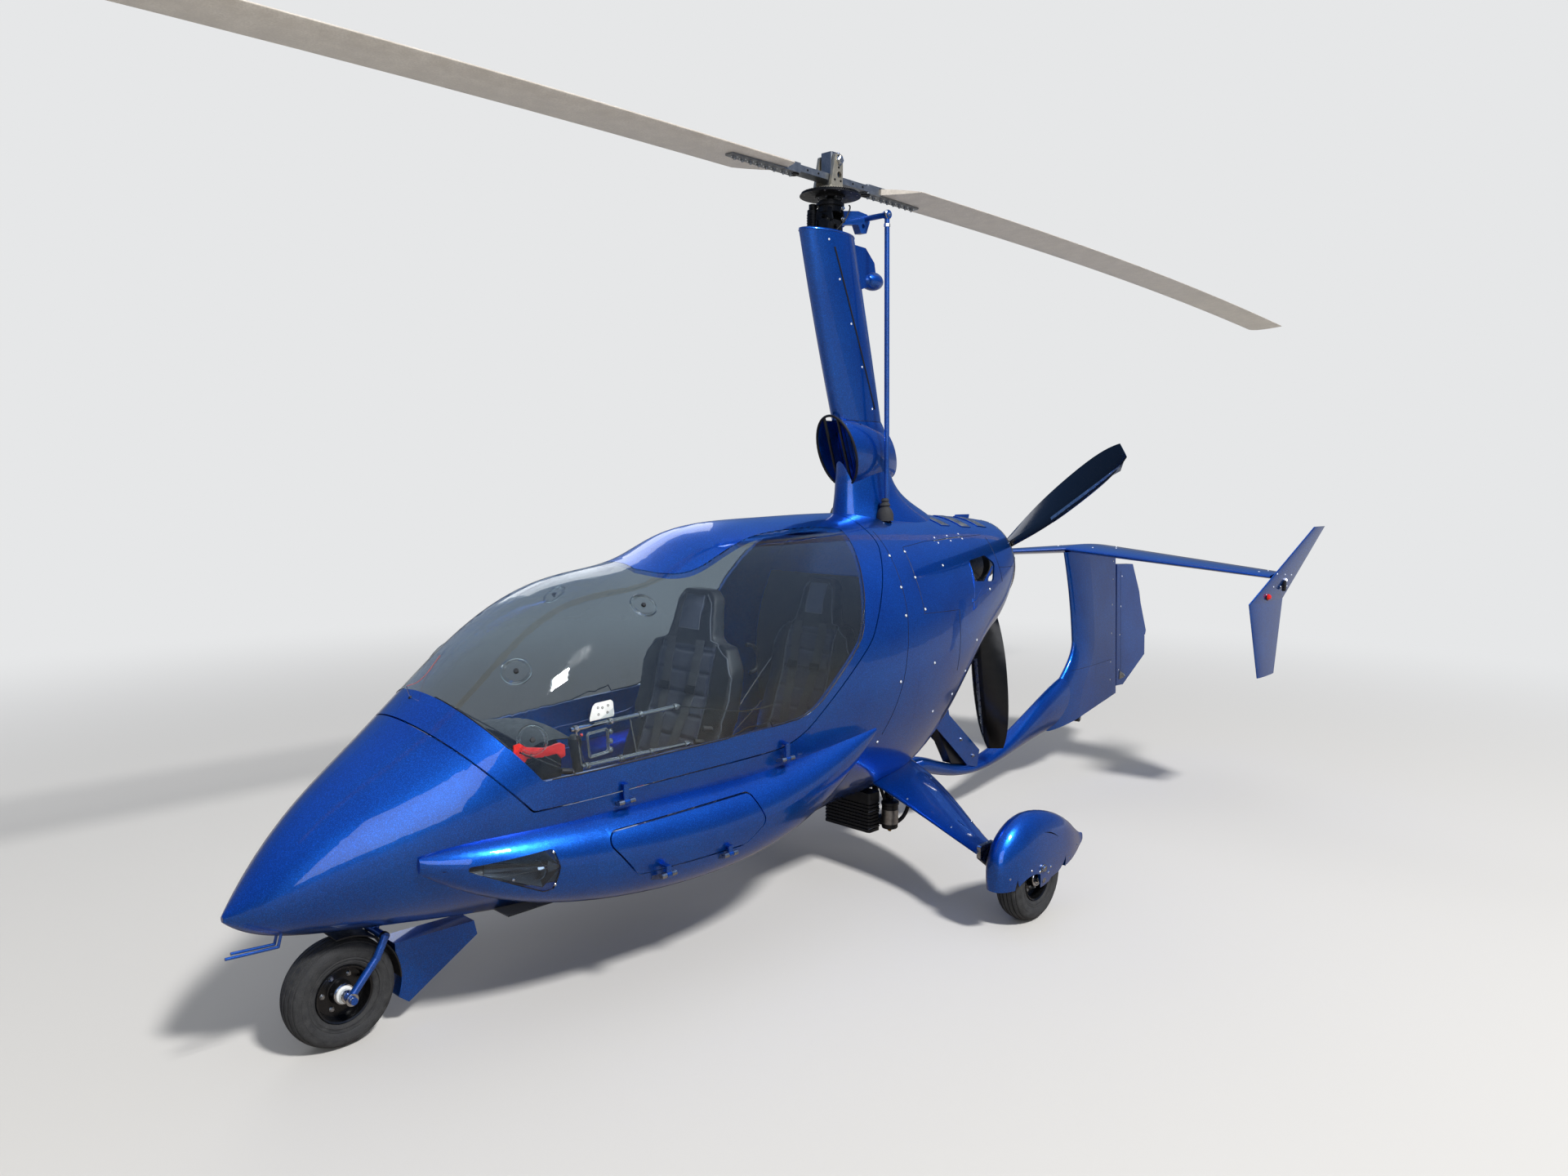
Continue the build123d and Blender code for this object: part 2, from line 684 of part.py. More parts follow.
Chord = namedtuple("Chord", "r chord thickness twist")
PROP_BLADE = [
    Chord(60, 56, 34, 58),
    Chord(180, 86, 26, 46),
    Chord(330, 138, 19, 34),
    Chord(550, 162, 14, 25),
    Chord(750, 140, 10, 19),
    Chord(PROP_RADIUS, 76, 6, 16),
]
PROP_ANGLES = (53, 173, 293)


def prop_section(row, angle):
    """Section of one propeller blade at a radius, turned to its pitch."""
    out = (math.sin(math.radians(angle)), 0, math.cos(math.radians(angle)))
    across = (math.cos(math.radians(angle)), 0, -math.sin(math.radians(angle)))
    pitch = math.radians(row.twist)
    chord_dir = tuple(math.sin(pitch) * b - math.cos(pitch) * a for a, b in zip(across, (0, 1, 0)))
    origin = (row.r * out[0], PROP_Y, THRUST_LEVEL + row.r * out[2])
    with BuildSketch(Plane(origin=origin, x_dir=chord_dir, z_dir=out)) as section:
        add(foil(row.chord, row.thickness, 1.6, 0.5))
        make_face()
    return section.sketch


with BuildPart() as propeller_blades:
    for angle in PROP_ANGLES:
        add(loft(sections=[prop_section(row, angle) for row in PROP_BLADE], mode=Mode.PRIVATE))
    with BuildSketch(Plane.XZ.offset(-(PROP_Y - 60))):
        with Locations((0, THRUST_LEVEL)):
            Circle(PROP_HUB_RADIUS)
    extrude(amount=-120, mode=Mode.SUBTRACT)
save(propeller_blades, "propeller_blades")

with BuildPart() as engine_block:
    with BuildSketch(Plane.XZ.offset(-330)):
        with Locations((0, 1010)):
            RectangleRounded(400, 300, 30)
    extrude(amount=-430)
    with BuildSketch(Plane.XZ.offset(-760)):
        with Locations((0, THRUST_LEVEL)):
            Circle(80)
    extrude(amount=-230)
    with BuildSketch(Plane.XZ.offset(-990)):
        with Locations((0, THRUST_LEVEL)):
            Circle(SHAFT_RADIUS)
    extrude(amount=-150)
    for side in SIDES:
        for level in (920, 1120):
            add(rod((side * 150, COWL_SEAM_Y, level), (side * 150, 332, level), 12))
save(engine_block, "engine_block")

with BuildPart() as radiator:
    with BuildSketch(Plane.XY.offset(150)):
        with Locations((60, 110)):
            RectangleRounded(240, 70, 12)
    extrude(amount=160)
    for level in range(162, 262, 14):
        with BuildSketch(Plane.XY.offset(level)):
            with Locations((60, 110)):
                Rectangle(250, 80)
                Rectangle(226, 56, mode=Mode.SUBTRACT)
        extrude(amount=6, mode=Mode.SUBTRACT)
    add(OUTER, mode=Mode.SUBTRACT)
save(radiator, "radiator")

HOSE_RADIUS = 14
with BuildPart() as radiator_hoses:
    for x, level in ((150, 185), (84, 215)):
        with BuildLine() as route:
            FilletPolyline((x, 144, level), (x, 230, level), (x, 230, 400), radius=42)
        with BuildSketch(Plane(origin=(x, 144, level), z_dir=(0, 1, 0))):
            Circle(HOSE_RADIUS)
        sweep(path=route.line)
    add(OUTER, mode=Mode.SUBTRACT)
    add(radiator.part, mode=Mode.SUBTRACT)
save(radiator_hoses, "radiator_hoses")

# Keel, boom and fin
Boom = namedtuple("Boom", "y bottom top half")
KEEL = [
    Boom(190, 262, 330, 50),
    Boom(620, 262, 332, 50),
]
BOOM = [
    Boom(620, 262, 332, 50),
    Boom(820, 210, 272, 50),
    Boom(1060, 182, 237, 48),
    Boom(1340, 210, 302, 46),
    Boom(1620, 256, 426, 42),
    Boom(1860, 286, 526, 37),
    Boom(2000, 302, 550, 28),
]
SKIN = 4                    # moulded walls of the boom, fin and tailplane


def boom_section(row, inset):
    """Rounded section of the keel and boom."""
    with BuildSketch(cross_plane(row.y)) as section:
        with Locations((0, (row.top + row.bottom) / 2)):
            Ellipse(row.half - inset, (row.top - row.bottom) / 2 - inset)
    return section.sketch


HINGE_TOP = (2402, 1165)
HINGE_LOW = (2452, 395)
FIN_GAP = 12                # from the fin's rear edge back to the hinge line
RUDDER_LUGS = (500, 780, 1060)
LUG = 8                     # thickness


def hinge_y(level, gap=0):
    """The rudder's hinge line at a level."""
    share = (level - HINGE_LOW[1]) / (HINGE_TOP[1] - HINGE_LOW[1])
    return HINGE_LOW[0] + share * (HINGE_TOP[0] - HINGE_LOW[0]) + gap


Fin = namedtuple("Fin", "z nose half")
FIN_ROOT = [
    Fin(250, 1760, 38),
    Fin(540, 1880, 37),
    Fin(640, 1968, 36),
    Fin(705, 1987, 36),
]
FIN = [
    Fin(705, 1987, 36),
    Fin(950, 1941, 34),
    Fin(1190, 1866, 30),
]
FIN_FOOT = [(1500, 232), (1957, 291), (2520, 388)]


def fin_section(row, inset):
    """Level section of the fin, round nosed and square at the rudder."""
    nose = row.nose + inset
    tail = hinge_y(row.z) - FIN_GAP - inset
    half = row.half - inset
    crest = nose + 0.4 * (tail - nose)
    with BuildSketch(Plane.XY.offset(row.z)) as section:
        with BuildLine():
            EllipticalCenterArc((0, crest), half, crest - nose, 180, arc_size=180)
            Line((half, crest), (0.72 * half, tail))
            Line((0.72 * half, tail), (-0.72 * half, tail))
            Line((-0.72 * half, tail), (-half, crest))
        make_face()
    return section.sketch


def boom_loft(inset):
    """Keel, boom and fin moved in by a distance, as one closed solid."""
    with BuildPart() as body:
        loft(sections=[boom_section(row, inset) for row in KEEL])
        loft(sections=[boom_section(row, inset) for row in BOOM])
        loft(sections=[fin_section(row, inset) for row in FIN_ROOT])
        loft(sections=[fin_section(row, inset) for row in FIN])
        with BuildSketch(Plane.YZ):
            with BuildLine():
                Polyline(*[(y, z + inset) for y, z in FIN_FOOT], (2520, 0), (1500, 0), close=True)
            make_face()
        extrude(amount=200, both=True, mode=Mode.SUBTRACT)
        if inset:
            with BuildSketch(Plane.XY.offset(FIN[-1].z - inset)):
                with Locations((0, 2100)):
                    Rectangle(200, 900)
            extrude(amount=100, mode=Mode.SUBTRACT)
    return body.part


BOOM_OUTSIDE = boom_loft(0)
with BuildPart() as tail_boom:
    add(BOOM_OUTSIDE)
    add(boom_loft(SKIN), mode=Mode.SUBTRACT)
    add(OUTER, mode=Mode.SUBTRACT)
save(tail_boom, "tail_boom")

# Braces from the cowl's underside down to the keel, and the dark control channel between them
with BuildPart() as keel_braces:
    for side in SIDES:
        with BuildSketch(Plane.YZ.offset(side * 40)):
            with BuildLine():
                Polyline((640, 700), (735, 740), (805, 500), (1056, 296), (1040, 215), (960, 240),
                         (663, 494), close=True)
            make_face()
        extrude(amount=side * 5)
    add(OUTER, mode=Mode.SUBTRACT)
    add(BOOM_OUTSIDE, mode=Mode.SUBTRACT)
save(keel_braces, "keel_braces")

with BuildPart() as control_channel:
    with BuildSketch(Plane.YZ):
        with BuildLine():
            Polyline((612, 640), (668, 640), (1020, 262), (990, 236), (860, 262), close=True)
        make_face()
    extrude(amount=24, both=True)
    add(OUTER, mode=Mode.SUBTRACT)
    add(BOOM_OUTSIDE, mode=Mode.SUBTRACT)
save(control_channel, "control_channel")

HINGE_DIR = Vector(0, HINGE_TOP[0] - HINGE_LOW[0], HINGE_TOP[1] - HINGE_LOW[1]).normalized()


def lug_plane(level, shift):
    """Plane square to the rudder's hinge line, its x axis aft."""
    origin = Vector(0, hinge_y(level), level) + HINGE_DIR * shift
    return Plane(origin=origin, x_dir=(0, HINGE_DIR.Z, -HINGE_DIR.Y), z_dir=HINGE_DIR)


with BuildPart() as rudder_lugs:
    for level in RUDDER_LUGS:
        with BuildSketch(lug_plane(level, -LUG / 2)):
            Circle(KNUCKLE_RADIUS)
            with Locations((-10, 0)):
                Rectangle(20, 2 * KNUCKLE_RADIUS)
        extrude(amount=LUG)
        with BuildSketch(lug_plane(level, -LUG - 4)):
            Circle(PIN_RADIUS)
        extrude(amount=2 * LUG + 8)
    add(BOOM_OUTSIDE, mode=Mode.SUBTRACT)
save(rudder_lugs, "rudder_lugs")

# Rudder, seen from the side behind its hinge line
RUDDER_OUTLINE = [(2416, 1100), (2606, 1092), (2700, 930), (2790, 660), (2796, 556), (2540, 410),
                  (2461, 412)]
with BuildPart() as rudder:
    with BuildSketch(Plane.YZ):
        with BuildLine():
            Polyline(*RUDDER_OUTLINE, close=True)
        make_face()
    extrude(amount=20, both=True)
    for level in RUDDER_LUGS:
        for shift in (-LUG / 2 - KNUCKLE_PLAY - 6, LUG / 2 + KNUCKLE_PLAY):
            with BuildSketch(lug_plane(level, shift)):
                Circle(KNUCKLE_RADIUS)
                with Locations((10, 0)):
                    Rectangle(20, 2 * KNUCKLE_RADIUS)
                Circle(PIN_RADIUS + BOLT_FIT, mode=Mode.SUBTRACT)
            extrude(amount=6)
    with BuildSketch(Plane.YZ):
        with BuildLine():
            Polyline((2640, 1018), (2674, 1030), (2840, 690), (2832, 664), (2780, 676), close=True)
        make_face()
    extrude(amount=3, both=True)
save(rudder, "rudder")

# Tailplane with its end fins
STAB_HALF = 968


def stab_section(x, nose, tail, level, thickness, inset):
    """Section of the tailplane at a distance from the middle, its hollow short of the rear edge."""
    nose += inset
    thickness -= 2 * inset
    chord = (0.8 if inset else 1) * (tail - nose)
    with BuildSketch(Plane(origin=(x, nose + 0.3 * chord, level), x_dir=(0, 1, 0),
                           z_dir=(1, 0, 0))) as section:
        add(foil(chord, thickness))
        make_face()
    return section.sketch


with BuildPart() as stabiliser:
    for inset, mode in ((0, Mode.ADD), (SKIN, Mode.SUBTRACT)):
        for side in SIDES:
            loft(sections=[stab_section(0, 1878, 2372, 1204, 44, inset),
                           stab_section(side * STAB_HALF, 2073, 2361, 1113, 26, inset)],
                 ruled=True, mode=mode)
    add(BOOM_OUTSIDE, mode=Mode.SUBTRACT)
save(stabiliser, "stabiliser")

Panel = namedtuple("Panel", "z x nose tail thickness")
END_FIN = [
    Panel(630, 948, 2030, 2242, 14),
    Panel(994, 948, 1886, 2312, 22),
    Panel(1345, 1052, 2392, 2545, 12),
]


def fin_panel_section(row, side):
    """Level section of an end fin."""
    chord = row.tail - row.nose
    with BuildSketch(Plane(origin=(side * row.x, row.nose + 0.3 * chord, row.z),
                           x_dir=(0, 1, 0), z_dir=(0, 0, 1))) as section:
        add(foil(chord, row.thickness))
        make_face()
    return section.sketch


with BuildPart() as end_fins:
    for side in SIDES:
        loft(sections=[fin_panel_section(row, side) for row in END_FIN], ruled=True)
    add(stabiliser.part, mode=Mode.SUBTRACT)
save(end_fins, "end_fins")

with BuildPart() as tail_roller:
    with BuildSketch(Plane.YZ):
        with Locations((2056, 308)):
            SlotOverall(80, 34, rotation=90)
    extrude(amount=16, both=True)
    add(BOOM_OUTSIDE, mode=Mode.SUBTRACT)
save(tail_roller, "tail_roller")

# Main gear
Leg = namedtuple("Leg", "x front rear z thickness")
LEG = [
    Leg(120, 10, 340, 420, 64),
    Leg(250, 12, 330, 382, 58),
    Leg(500, 0, 226, 306, 40),
    Leg(790, -92, 24, 262, 26),
]
AXLE_RADIUS = 10
SPAT_INNER, SPAT_OUTER = 822, 962


def leg_section(row, side):
    """Oval section of a gear leg at a distance from the middle."""
    with BuildSketch(Plane(origin=(side * row.x, (row.front + row.rear) / 2, row.z),
                           x_dir=(0, 1, 0), z_dir=(1, 0, 0))) as section:
        Ellipse((row.rear - row.front) / 2, row.thickness / 2)
    return section.sketch


with BuildPart() as gear_legs:
    for side in SIDES:
        loft(sections=[leg_section(row, side) for row in LEG])
    add(OUTER, mode=Mode.SUBTRACT)
    add(BULGES[PORT], mode=Mode.SUBTRACT)
    add(BULGES[STARBOARD], mode=Mode.SUBTRACT)
save(gear_legs, "gear_legs")

with BuildPart() as main_axles:
    for side in SIDES:
        with BuildSketch(Plane.YZ.offset(side * 790)):
            with BuildLine():
                FilletPolyline((-80, 285), (10, 285), (130, 165), (110, 125), (70, 130), (-80, 240),
                               radius=8, close=True)
            make_face()
        extrude(amount=side * 16)
        with BuildSketch(Plane.YZ.offset(side * 800)):
            with Locations((MAIN_AXLE_Y, MAIN_WHEEL_RADIUS)):
                Circle(AXLE_RADIUS)
        extrude(amount=side * 156)
    add(gear_legs.part, mode=Mode.SUBTRACT)
save(main_axles, "main_axles")

# Spats: streamlined, open below, with a tongue on the outer side down to the axle bolt
Spat = namedtuple("Spat", "y half bottom wide top")
SPAT = [
    Spat(-134, 14, 180, 215, 250),
    Spat(-105, 44, 90, 220, 318),
    Spat(-30, 66, 60, 230, 376),
    Spat(90, 72, 60, 230, 394),
    Spat(230, 62, 70, 220, 362),
    Spat(380, 34, 100, 200, 286),
    Spat(480, 6, 190, 208, 226),
]


def spat_loft(side):
    """The spat's streamlined body."""
    with BuildPart() as body:
        loft(sections=[
            oval(r.y, r.half, r.bottom, r.wide, r.top, side * MAIN_WHEEL_X) for r in SPAT
        ])
    return body.part


with BuildPart() as spat_side:
    with BuildSketch(Plane.YZ):
        with BuildLine():
            Polyline((-200, 500), (-200, 158), (-62, 158))
            RadiusArc((-62, 158), (66, 186), 110)
            Polyline((66, 186), (92, 118), (124, 118), (160, 150), (330, 168), (600, 215),
                     (600, 500), (-200, 500))
        make_face()
    extrude(amount=1100, both=True)


def spat_room(side):
    """Room inside a spat for the tyre and, towards the leg, for its plate."""
    with BuildPart() as room:
        for start, length, radius in ((-50 - 8, 116, MAIN_WHEEL_RADIUS + 14), (-90, 60, 110)):
            with BuildSketch(Plane.YZ.offset(side * (MAIN_WHEEL_X + start))):
                with Locations((MAIN_AXLE_Y, MAIN_WHEEL_RADIUS)):
                    Circle(radius)
            extrude(amount=side * length)
    return room.part


with BuildPart() as wheel_spats:
    for side in SIDES:
        add(common(spat_loft(side), spat_side.part))
        add(spat_room(side), mode=Mode.SUBTRACT)
    add(main_axles.part, mode=Mode.SUBTRACT)
    add(gear_legs.part, mode=Mode.SUBTRACT)
save(wheel_spats, "wheel_spats")


def tyre_at(radius, width, rim_radius, centre):
    """Tyre about an axle that runs across the machine."""
    x, y, z = centre
    bead = width * 0.36
    with BuildPart() as tyre:
        with BuildSketch(Plane(origin=centre, x_dir=(1, 0, 0), z_dir=(0, -1, 0))):
            with BuildLine():
                Line((-bead, rim_radius), (bead, rim_radius))
                ThreePointArc((bead, rim_radius), (width / 2, (radius + rim_radius) / 2),
                              (width * 0.34, radius * 0.955))
                ThreePointArc((width * 0.34, radius * 0.955), (0, radius), (-width * 0.34, radius * 0.955))
                ThreePointArc((-width * 0.34, radius * 0.955),
                              (-width / 2, (radius + rim_radius) / 2), (-bead, rim_radius))
            make_face()
        revolve(axis=Axis(centre, (1, 0, 0)))
    return tyre


def rim_at(width, rim_radius, centre, bore):
    """Two-piece dished rim with its hub."""
    bead = width * 0.36
    with BuildPart() as rim:
        with BuildSketch(Plane(origin=centre, x_dir=(1, 0, 0), z_dir=(0, -1, 0))):
            with BuildLine():
                Polyline((-bead, rim_radius), (bead, rim_radius), (bead, rim_radius - 7),
                         (10, rim_radius - 12), (10, 34), (34, 30), (34, bore), (-34, bore),
                         (-34, 30), (-10, 34), (-10, rim_radius - 12), (-bead, rim_radius - 7),
                         close=True)
            make_face()
        revolve(axis=Axis(centre, (1, 0, 0)))
    return rim


RIM_RADIUS = 80
for side, name in zip(SIDES, ("port", "starboard")):
    centre = (side * MAIN_WHEEL_X, MAIN_AXLE_Y, MAIN_WHEEL_RADIUS)
    save(tyre_at(MAIN_WHEEL_RADIUS, 100, RIM_RADIUS, centre), f"main_tyre_{name}")
    save(rim_at(100, RIM_RADIUS, centre, AXLE_RADIUS + BOLT_FIT), f"main_rim_{name}")

# Nose gear
NOSE_CENTRE = (0, NOSE_AXLE_Y, NOSE_WHEEL_RADIUS)
NOSE_AXLE_RADIUS = 12
save(tyre_at(NOSE_WHEEL_RADIUS, 104, RIM_RADIUS, NOSE_CENTRE), "nose_tyre")
save(rim_at(104, RIM_RADIUS, NOSE_CENTRE, NOSE_AXLE_RADIUS + BOLT_FIT), "nose_rim")

CROWN_Y, CROWN_Z = -1903, 293
FORK_X = 72
NOSE_AXLE_HALF = 84         # out to the fork's outer faces
TOW_PIN = 14                # the axle's ends stand out of the fork, for a tow bar's eyes
with BuildPart() as nose_fork:
    add(rod((-FORK_X, CROWN_Y, CROWN_Z), (FORK_X, CROWN_Y, CROWN_Z), 11))
    for side in SIDES:
        add(rod((side * FORK_X, CROWN_Y, CROWN_Z + 6), (side * FORK_X, -1932, 238), 11))
        add(rod((side * FORK_X, -1932, 240), (side * FORK_X, NOSE_AXLE_Y, NOSE_WHEEL_RADIUS), 11))
        with Locations((side * FORK_X, -1932, 239)):
            Sphere(11)
    for half, radius in ((NOSE_AXLE_HALF, NOSE_AXLE_RADIUS), (NOSE_AXLE_HALF + TOW_PIN, AXLE_RADIUS)):
        add(rod((-half, NOSE_AXLE_Y, NOSE_WHEEL_RADIUS), (half, NOSE_AXLE_Y, NOSE_WHEEL_RADIUS),
                radius))
    with BuildSketch(along_head(-34)):
        Circle(KINGPIN_RADIUS)
    extrude(amount=140)
save(nose_fork, "nose_fork")

GUARD_RADIUS = NOSE_WHEEL_RADIUS + 7
with BuildPart() as nose_mudguard:
    with BuildSketch(Plane.YZ.offset(-46)):
        with Locations(NOSE_CENTRE[1:]):
            Circle(GUARD_RADIUS + 4)
            Circle(GUARD_RADIUS, mode=Mode.SUBTRACT)
        with BuildLine():
            Polyline(NOSE_CENTRE[1:], (-2040, 400), (-1700, 400), (-1700, 150), close=True)
        make_face(mode=Mode.INTERSECT)
    extrude(amount=92)
    for side in SIDES:
        add(rod((side * 30, CROWN_Y, CROWN_Z), (side * 30, CROWN_Y - 9.6, CROWN_Z - 12.8), 6))
    add(nose_fork.part, mode=Mode.SUBTRACT)
save(nose_mudguard, "nose_mudguard")

with BuildPart() as steering_head:
    with BuildSketch(along_head(10)):
        Circle(STEM_HOLE - 0.5)
        Circle(KINGPIN_RADIUS + BOLT_FIT, mode=Mode.SUBTRACT)
    extrude(amount=80)
save(steering_head, "steering_head")

with BuildPart() as nose_fairing:
    with BuildSketch(Plane.YZ):
        with BuildLine():
            Polyline((-1860, 250), (-1610, 244), (-1600, 200), (-1822, 66), (-1852, 90), close=True)
        make_face()
    extrude(amount=38, both=True)
    with BuildSketch(Plane.YZ):
        with Locations(NOSE_CENTRE[1:]):
            Circle(NOSE_WHEEL_RADIUS + 14)
    extrude(amount=60, both=True, mode=Mode.SUBTRACT)
save(nose_fairing, "nose_fairing")

# Air data tubes under the nose
with BuildPart() as pitot_tubes:
    for x, reach in ((62, -2318), (38, -2296)):
        add(rod((x, reach, 358), (x, -2188, 350), 4))
        add(rod((x, -2188, 350), (x, -2170, 420), 4))
        with Locations((x, -2188, 350)):
            Sphere(4)
    add(OUTER, mode=Mode.SUBTRACT)
save(pitot_tubes, "pitot_tubes")

# Seats and cockpit
# Seat back seen from ahead: half-width by level, with shoulders and a narrower head
BACK_OUTLINE = [(0, 330), (232, 330), (236, 640), (248, 900), (206, 985), (128, 1010), (104, 1150),
                (66, 1184), (0, 1184)]
Seat = namedtuple("Seat", "name shift width")
for row in (Seat("front", -130, 1.0), Seat("rear", 520, 0.86)):
    with BuildPart() as seat:
        with BuildSketch(Plane.YZ):
            with BuildLine():
                FilletPolyline((-1090 + row.shift, 455), (-780 + row.shift, 420),
                               (-640 + row.shift, 800), (-560 + row.shift, 1190),
                               (-500 + row.shift, 1190), (-560 + row.shift, 760),
                               (-700 + row.shift, FLOOR_LEVEL + 1),
                               (-1060 + row.shift, FLOOR_LEVEL + 1), radius=16, close=True)
            make_face()
        extrude(amount=260, both=True)
        with BuildSketch(Plane.XZ):
            with BuildLine():
                Polyline(*[(row.width * x, z) for x, z in BACK_OUTLINE],
                         *[(-row.width * x, z) for x, z in reversed(BACK_OUTLINE[1:-1])], close=True)
            make_face()
        extrude(amount=1600, both=True, mode=Mode.INTERSECT)
        # Hollow of the bucket between its side bolsters
        with BuildSketch(Plane.YZ):
            with BuildLine():
                Polyline((-1130 + row.shift, 500), (-800 + row.shift, 462), (-672 + row.shift, 820),
                         (-640 + row.shift, 1000), (-1000 + row.shift, 1000), (-1130 + row.shift, 700),
                         close=True)
            make_face()
        extrude(amount=row.width * 168, both=True, mode=Mode.SUBTRACT)
        add(CANOPY_INNER, mode=Mode.INTERSECT)
    save(seat, f"seat_{row.name}")

with BuildPart() as instrument_panel:
    with BuildSketch(Plane.XY.offset(FLOOR_LEVEL)):
        with Locations((0, -1420)):
            RectangleRounded(120, 70, 15)
    extrude(amount=300)
    with BuildSketch(Plane.XZ.offset(1455)):
        with Locations((0, 690)):
            RectangleRounded(340, 170, 40)
    extrude(amount=-70)
save(instrument_panel, "instrument_panel")
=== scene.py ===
import logging
import math
from dataclasses import dataclass
from enum import Enum

import bmesh
import bpy
from mathutils import Matrix, Vector
from mathutils.bvhtree import BVHTree


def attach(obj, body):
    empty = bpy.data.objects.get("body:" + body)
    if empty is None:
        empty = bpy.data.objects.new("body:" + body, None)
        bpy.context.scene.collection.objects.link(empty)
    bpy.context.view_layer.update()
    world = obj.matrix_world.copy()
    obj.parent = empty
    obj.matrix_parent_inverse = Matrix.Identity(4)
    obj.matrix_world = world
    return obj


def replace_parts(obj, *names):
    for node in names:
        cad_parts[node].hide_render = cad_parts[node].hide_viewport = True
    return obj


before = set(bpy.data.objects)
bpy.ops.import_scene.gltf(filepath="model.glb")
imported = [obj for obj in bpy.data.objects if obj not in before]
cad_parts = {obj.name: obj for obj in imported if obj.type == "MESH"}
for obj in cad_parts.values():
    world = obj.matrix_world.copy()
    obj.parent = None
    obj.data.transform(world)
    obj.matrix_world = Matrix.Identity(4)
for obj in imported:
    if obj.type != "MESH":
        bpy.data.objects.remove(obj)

LOG = logging.getLogger("gyrocopter")
PORT, STARBOARD = 1.0, -1.0
SIDES = (PORT, STARBOARD)
FLANKS = ((PORT, "port"), (STARBOARD, "starboard"))
UP, DOWN = (0, 0, 1), (0, 0, -1)
AFT, AHEAD = (0, 1, 0), (0, -1, 0)
ABEAM = (1, 0, 0)


def linear(code: str) -> tuple[float, float, float, float]:
    """Turn an sRGB hex colour into linear values.

    Args:
        code: six hex digits, with or without a leading hash.

    Returns:
        Red, green, blue and a full alpha.
    """
    digits = code.lstrip("#")
    parts = [int(digits[i:i + 2], 16) / 255 for i in (0, 2, 4)]
    turned = [c / 12.92 if c <= 0.04045 else ((c + 0.055) / 1.055) ** 2.4 for c in parts]
    return (turned[0], turned[1], turned[2], 1.0)


def add_node(tree: bpy.types.NodeTree, kind: str, inputs: dict | None = None,
             **settings: object) -> bpy.types.Node:
    """Add a node with its settings, values and links.

    Args:
        tree: the node tree that gets the node.
        kind: the node's type name.
        inputs: socket name or index to a value, or to an output socket to link from.
        settings: attributes of the node.

    Returns:
        The new node.
    """
    node = tree.nodes.new(kind)
    for key, value in settings.items():
        setattr(node, key, value)
    for key, value in (inputs or {}).items():
        if isinstance(value, bpy.types.NodeSocket):
            tree.links.new(value, node.inputs[key])
        else:
            node.inputs[key].default_value = value
    return node


def colour_ramp(tree: bpy.types.NodeTree, factor: bpy.types.NodeSocket,
                stops: list[tuple[float, str]]) -> bpy.types.NodeSocket:
    """Turn a factor into colours.

    Args:
        tree: the node tree.
        factor: the output that drives the ramp.
        stops: position and hex colour of each stop, first two at least.

    Returns:
        The ramp's colour output.
    """
    ramp = add_node(tree, "ShaderNodeValToRGB", {"Fac": factor})
    elements = ramp.color_ramp.elements
    while len(elements) < len(stops):
        elements.new(0.5)
    for element, (place, code) in zip(elements, stops):
        element.position = place
        element.color = linear(code)
    return ramp.outputs["Color"]


def noise(tree: bpy.types.NodeTree, place: bpy.types.NodeSocket, scale: float,
          detail: float) -> bpy.types.NodeSocket:
    """Add a noise pattern and return its strength."""
    inputs = {"Vector": place, "Scale": scale, "Detail": detail}
    return add_node(tree, "ShaderNodeTexNoise", inputs).outputs["Fac"]


def joined(tree: bpy.types.NodeTree, operation: str, first: object,
           second: object) -> bpy.types.NodeSocket:
    """Combine two values or outputs and return the result."""
    return add_node(tree, "ShaderNodeMath", {0: first, 1: second}, operation=operation).outputs[0]


def spread(tree: bpy.types.NodeTree, value: bpy.types.NodeSocket, source: tuple[float, float],
           target: tuple[float, float]) -> bpy.types.NodeSocket:
    """Map one range of values to another and return the result."""
    inputs = {"Value": value, "From Min": source[0], "From Max": source[1],
              "To Min": target[0], "To Max": target[1]}
    return add_node(tree, "ShaderNodeMapRange", inputs).outputs[0]


def relief_of(tree: bpy.types.NodeTree, height: bpy.types.NodeSocket, distance: float,
              strength: float) -> bpy.types.NodeSocket:
    """Turn a pattern into bumps and return the bent normal."""
    inputs = {"Height": height, "Distance": distance, "Strength": strength}
    return add_node(tree, "ShaderNodeBump", inputs).outputs[0]


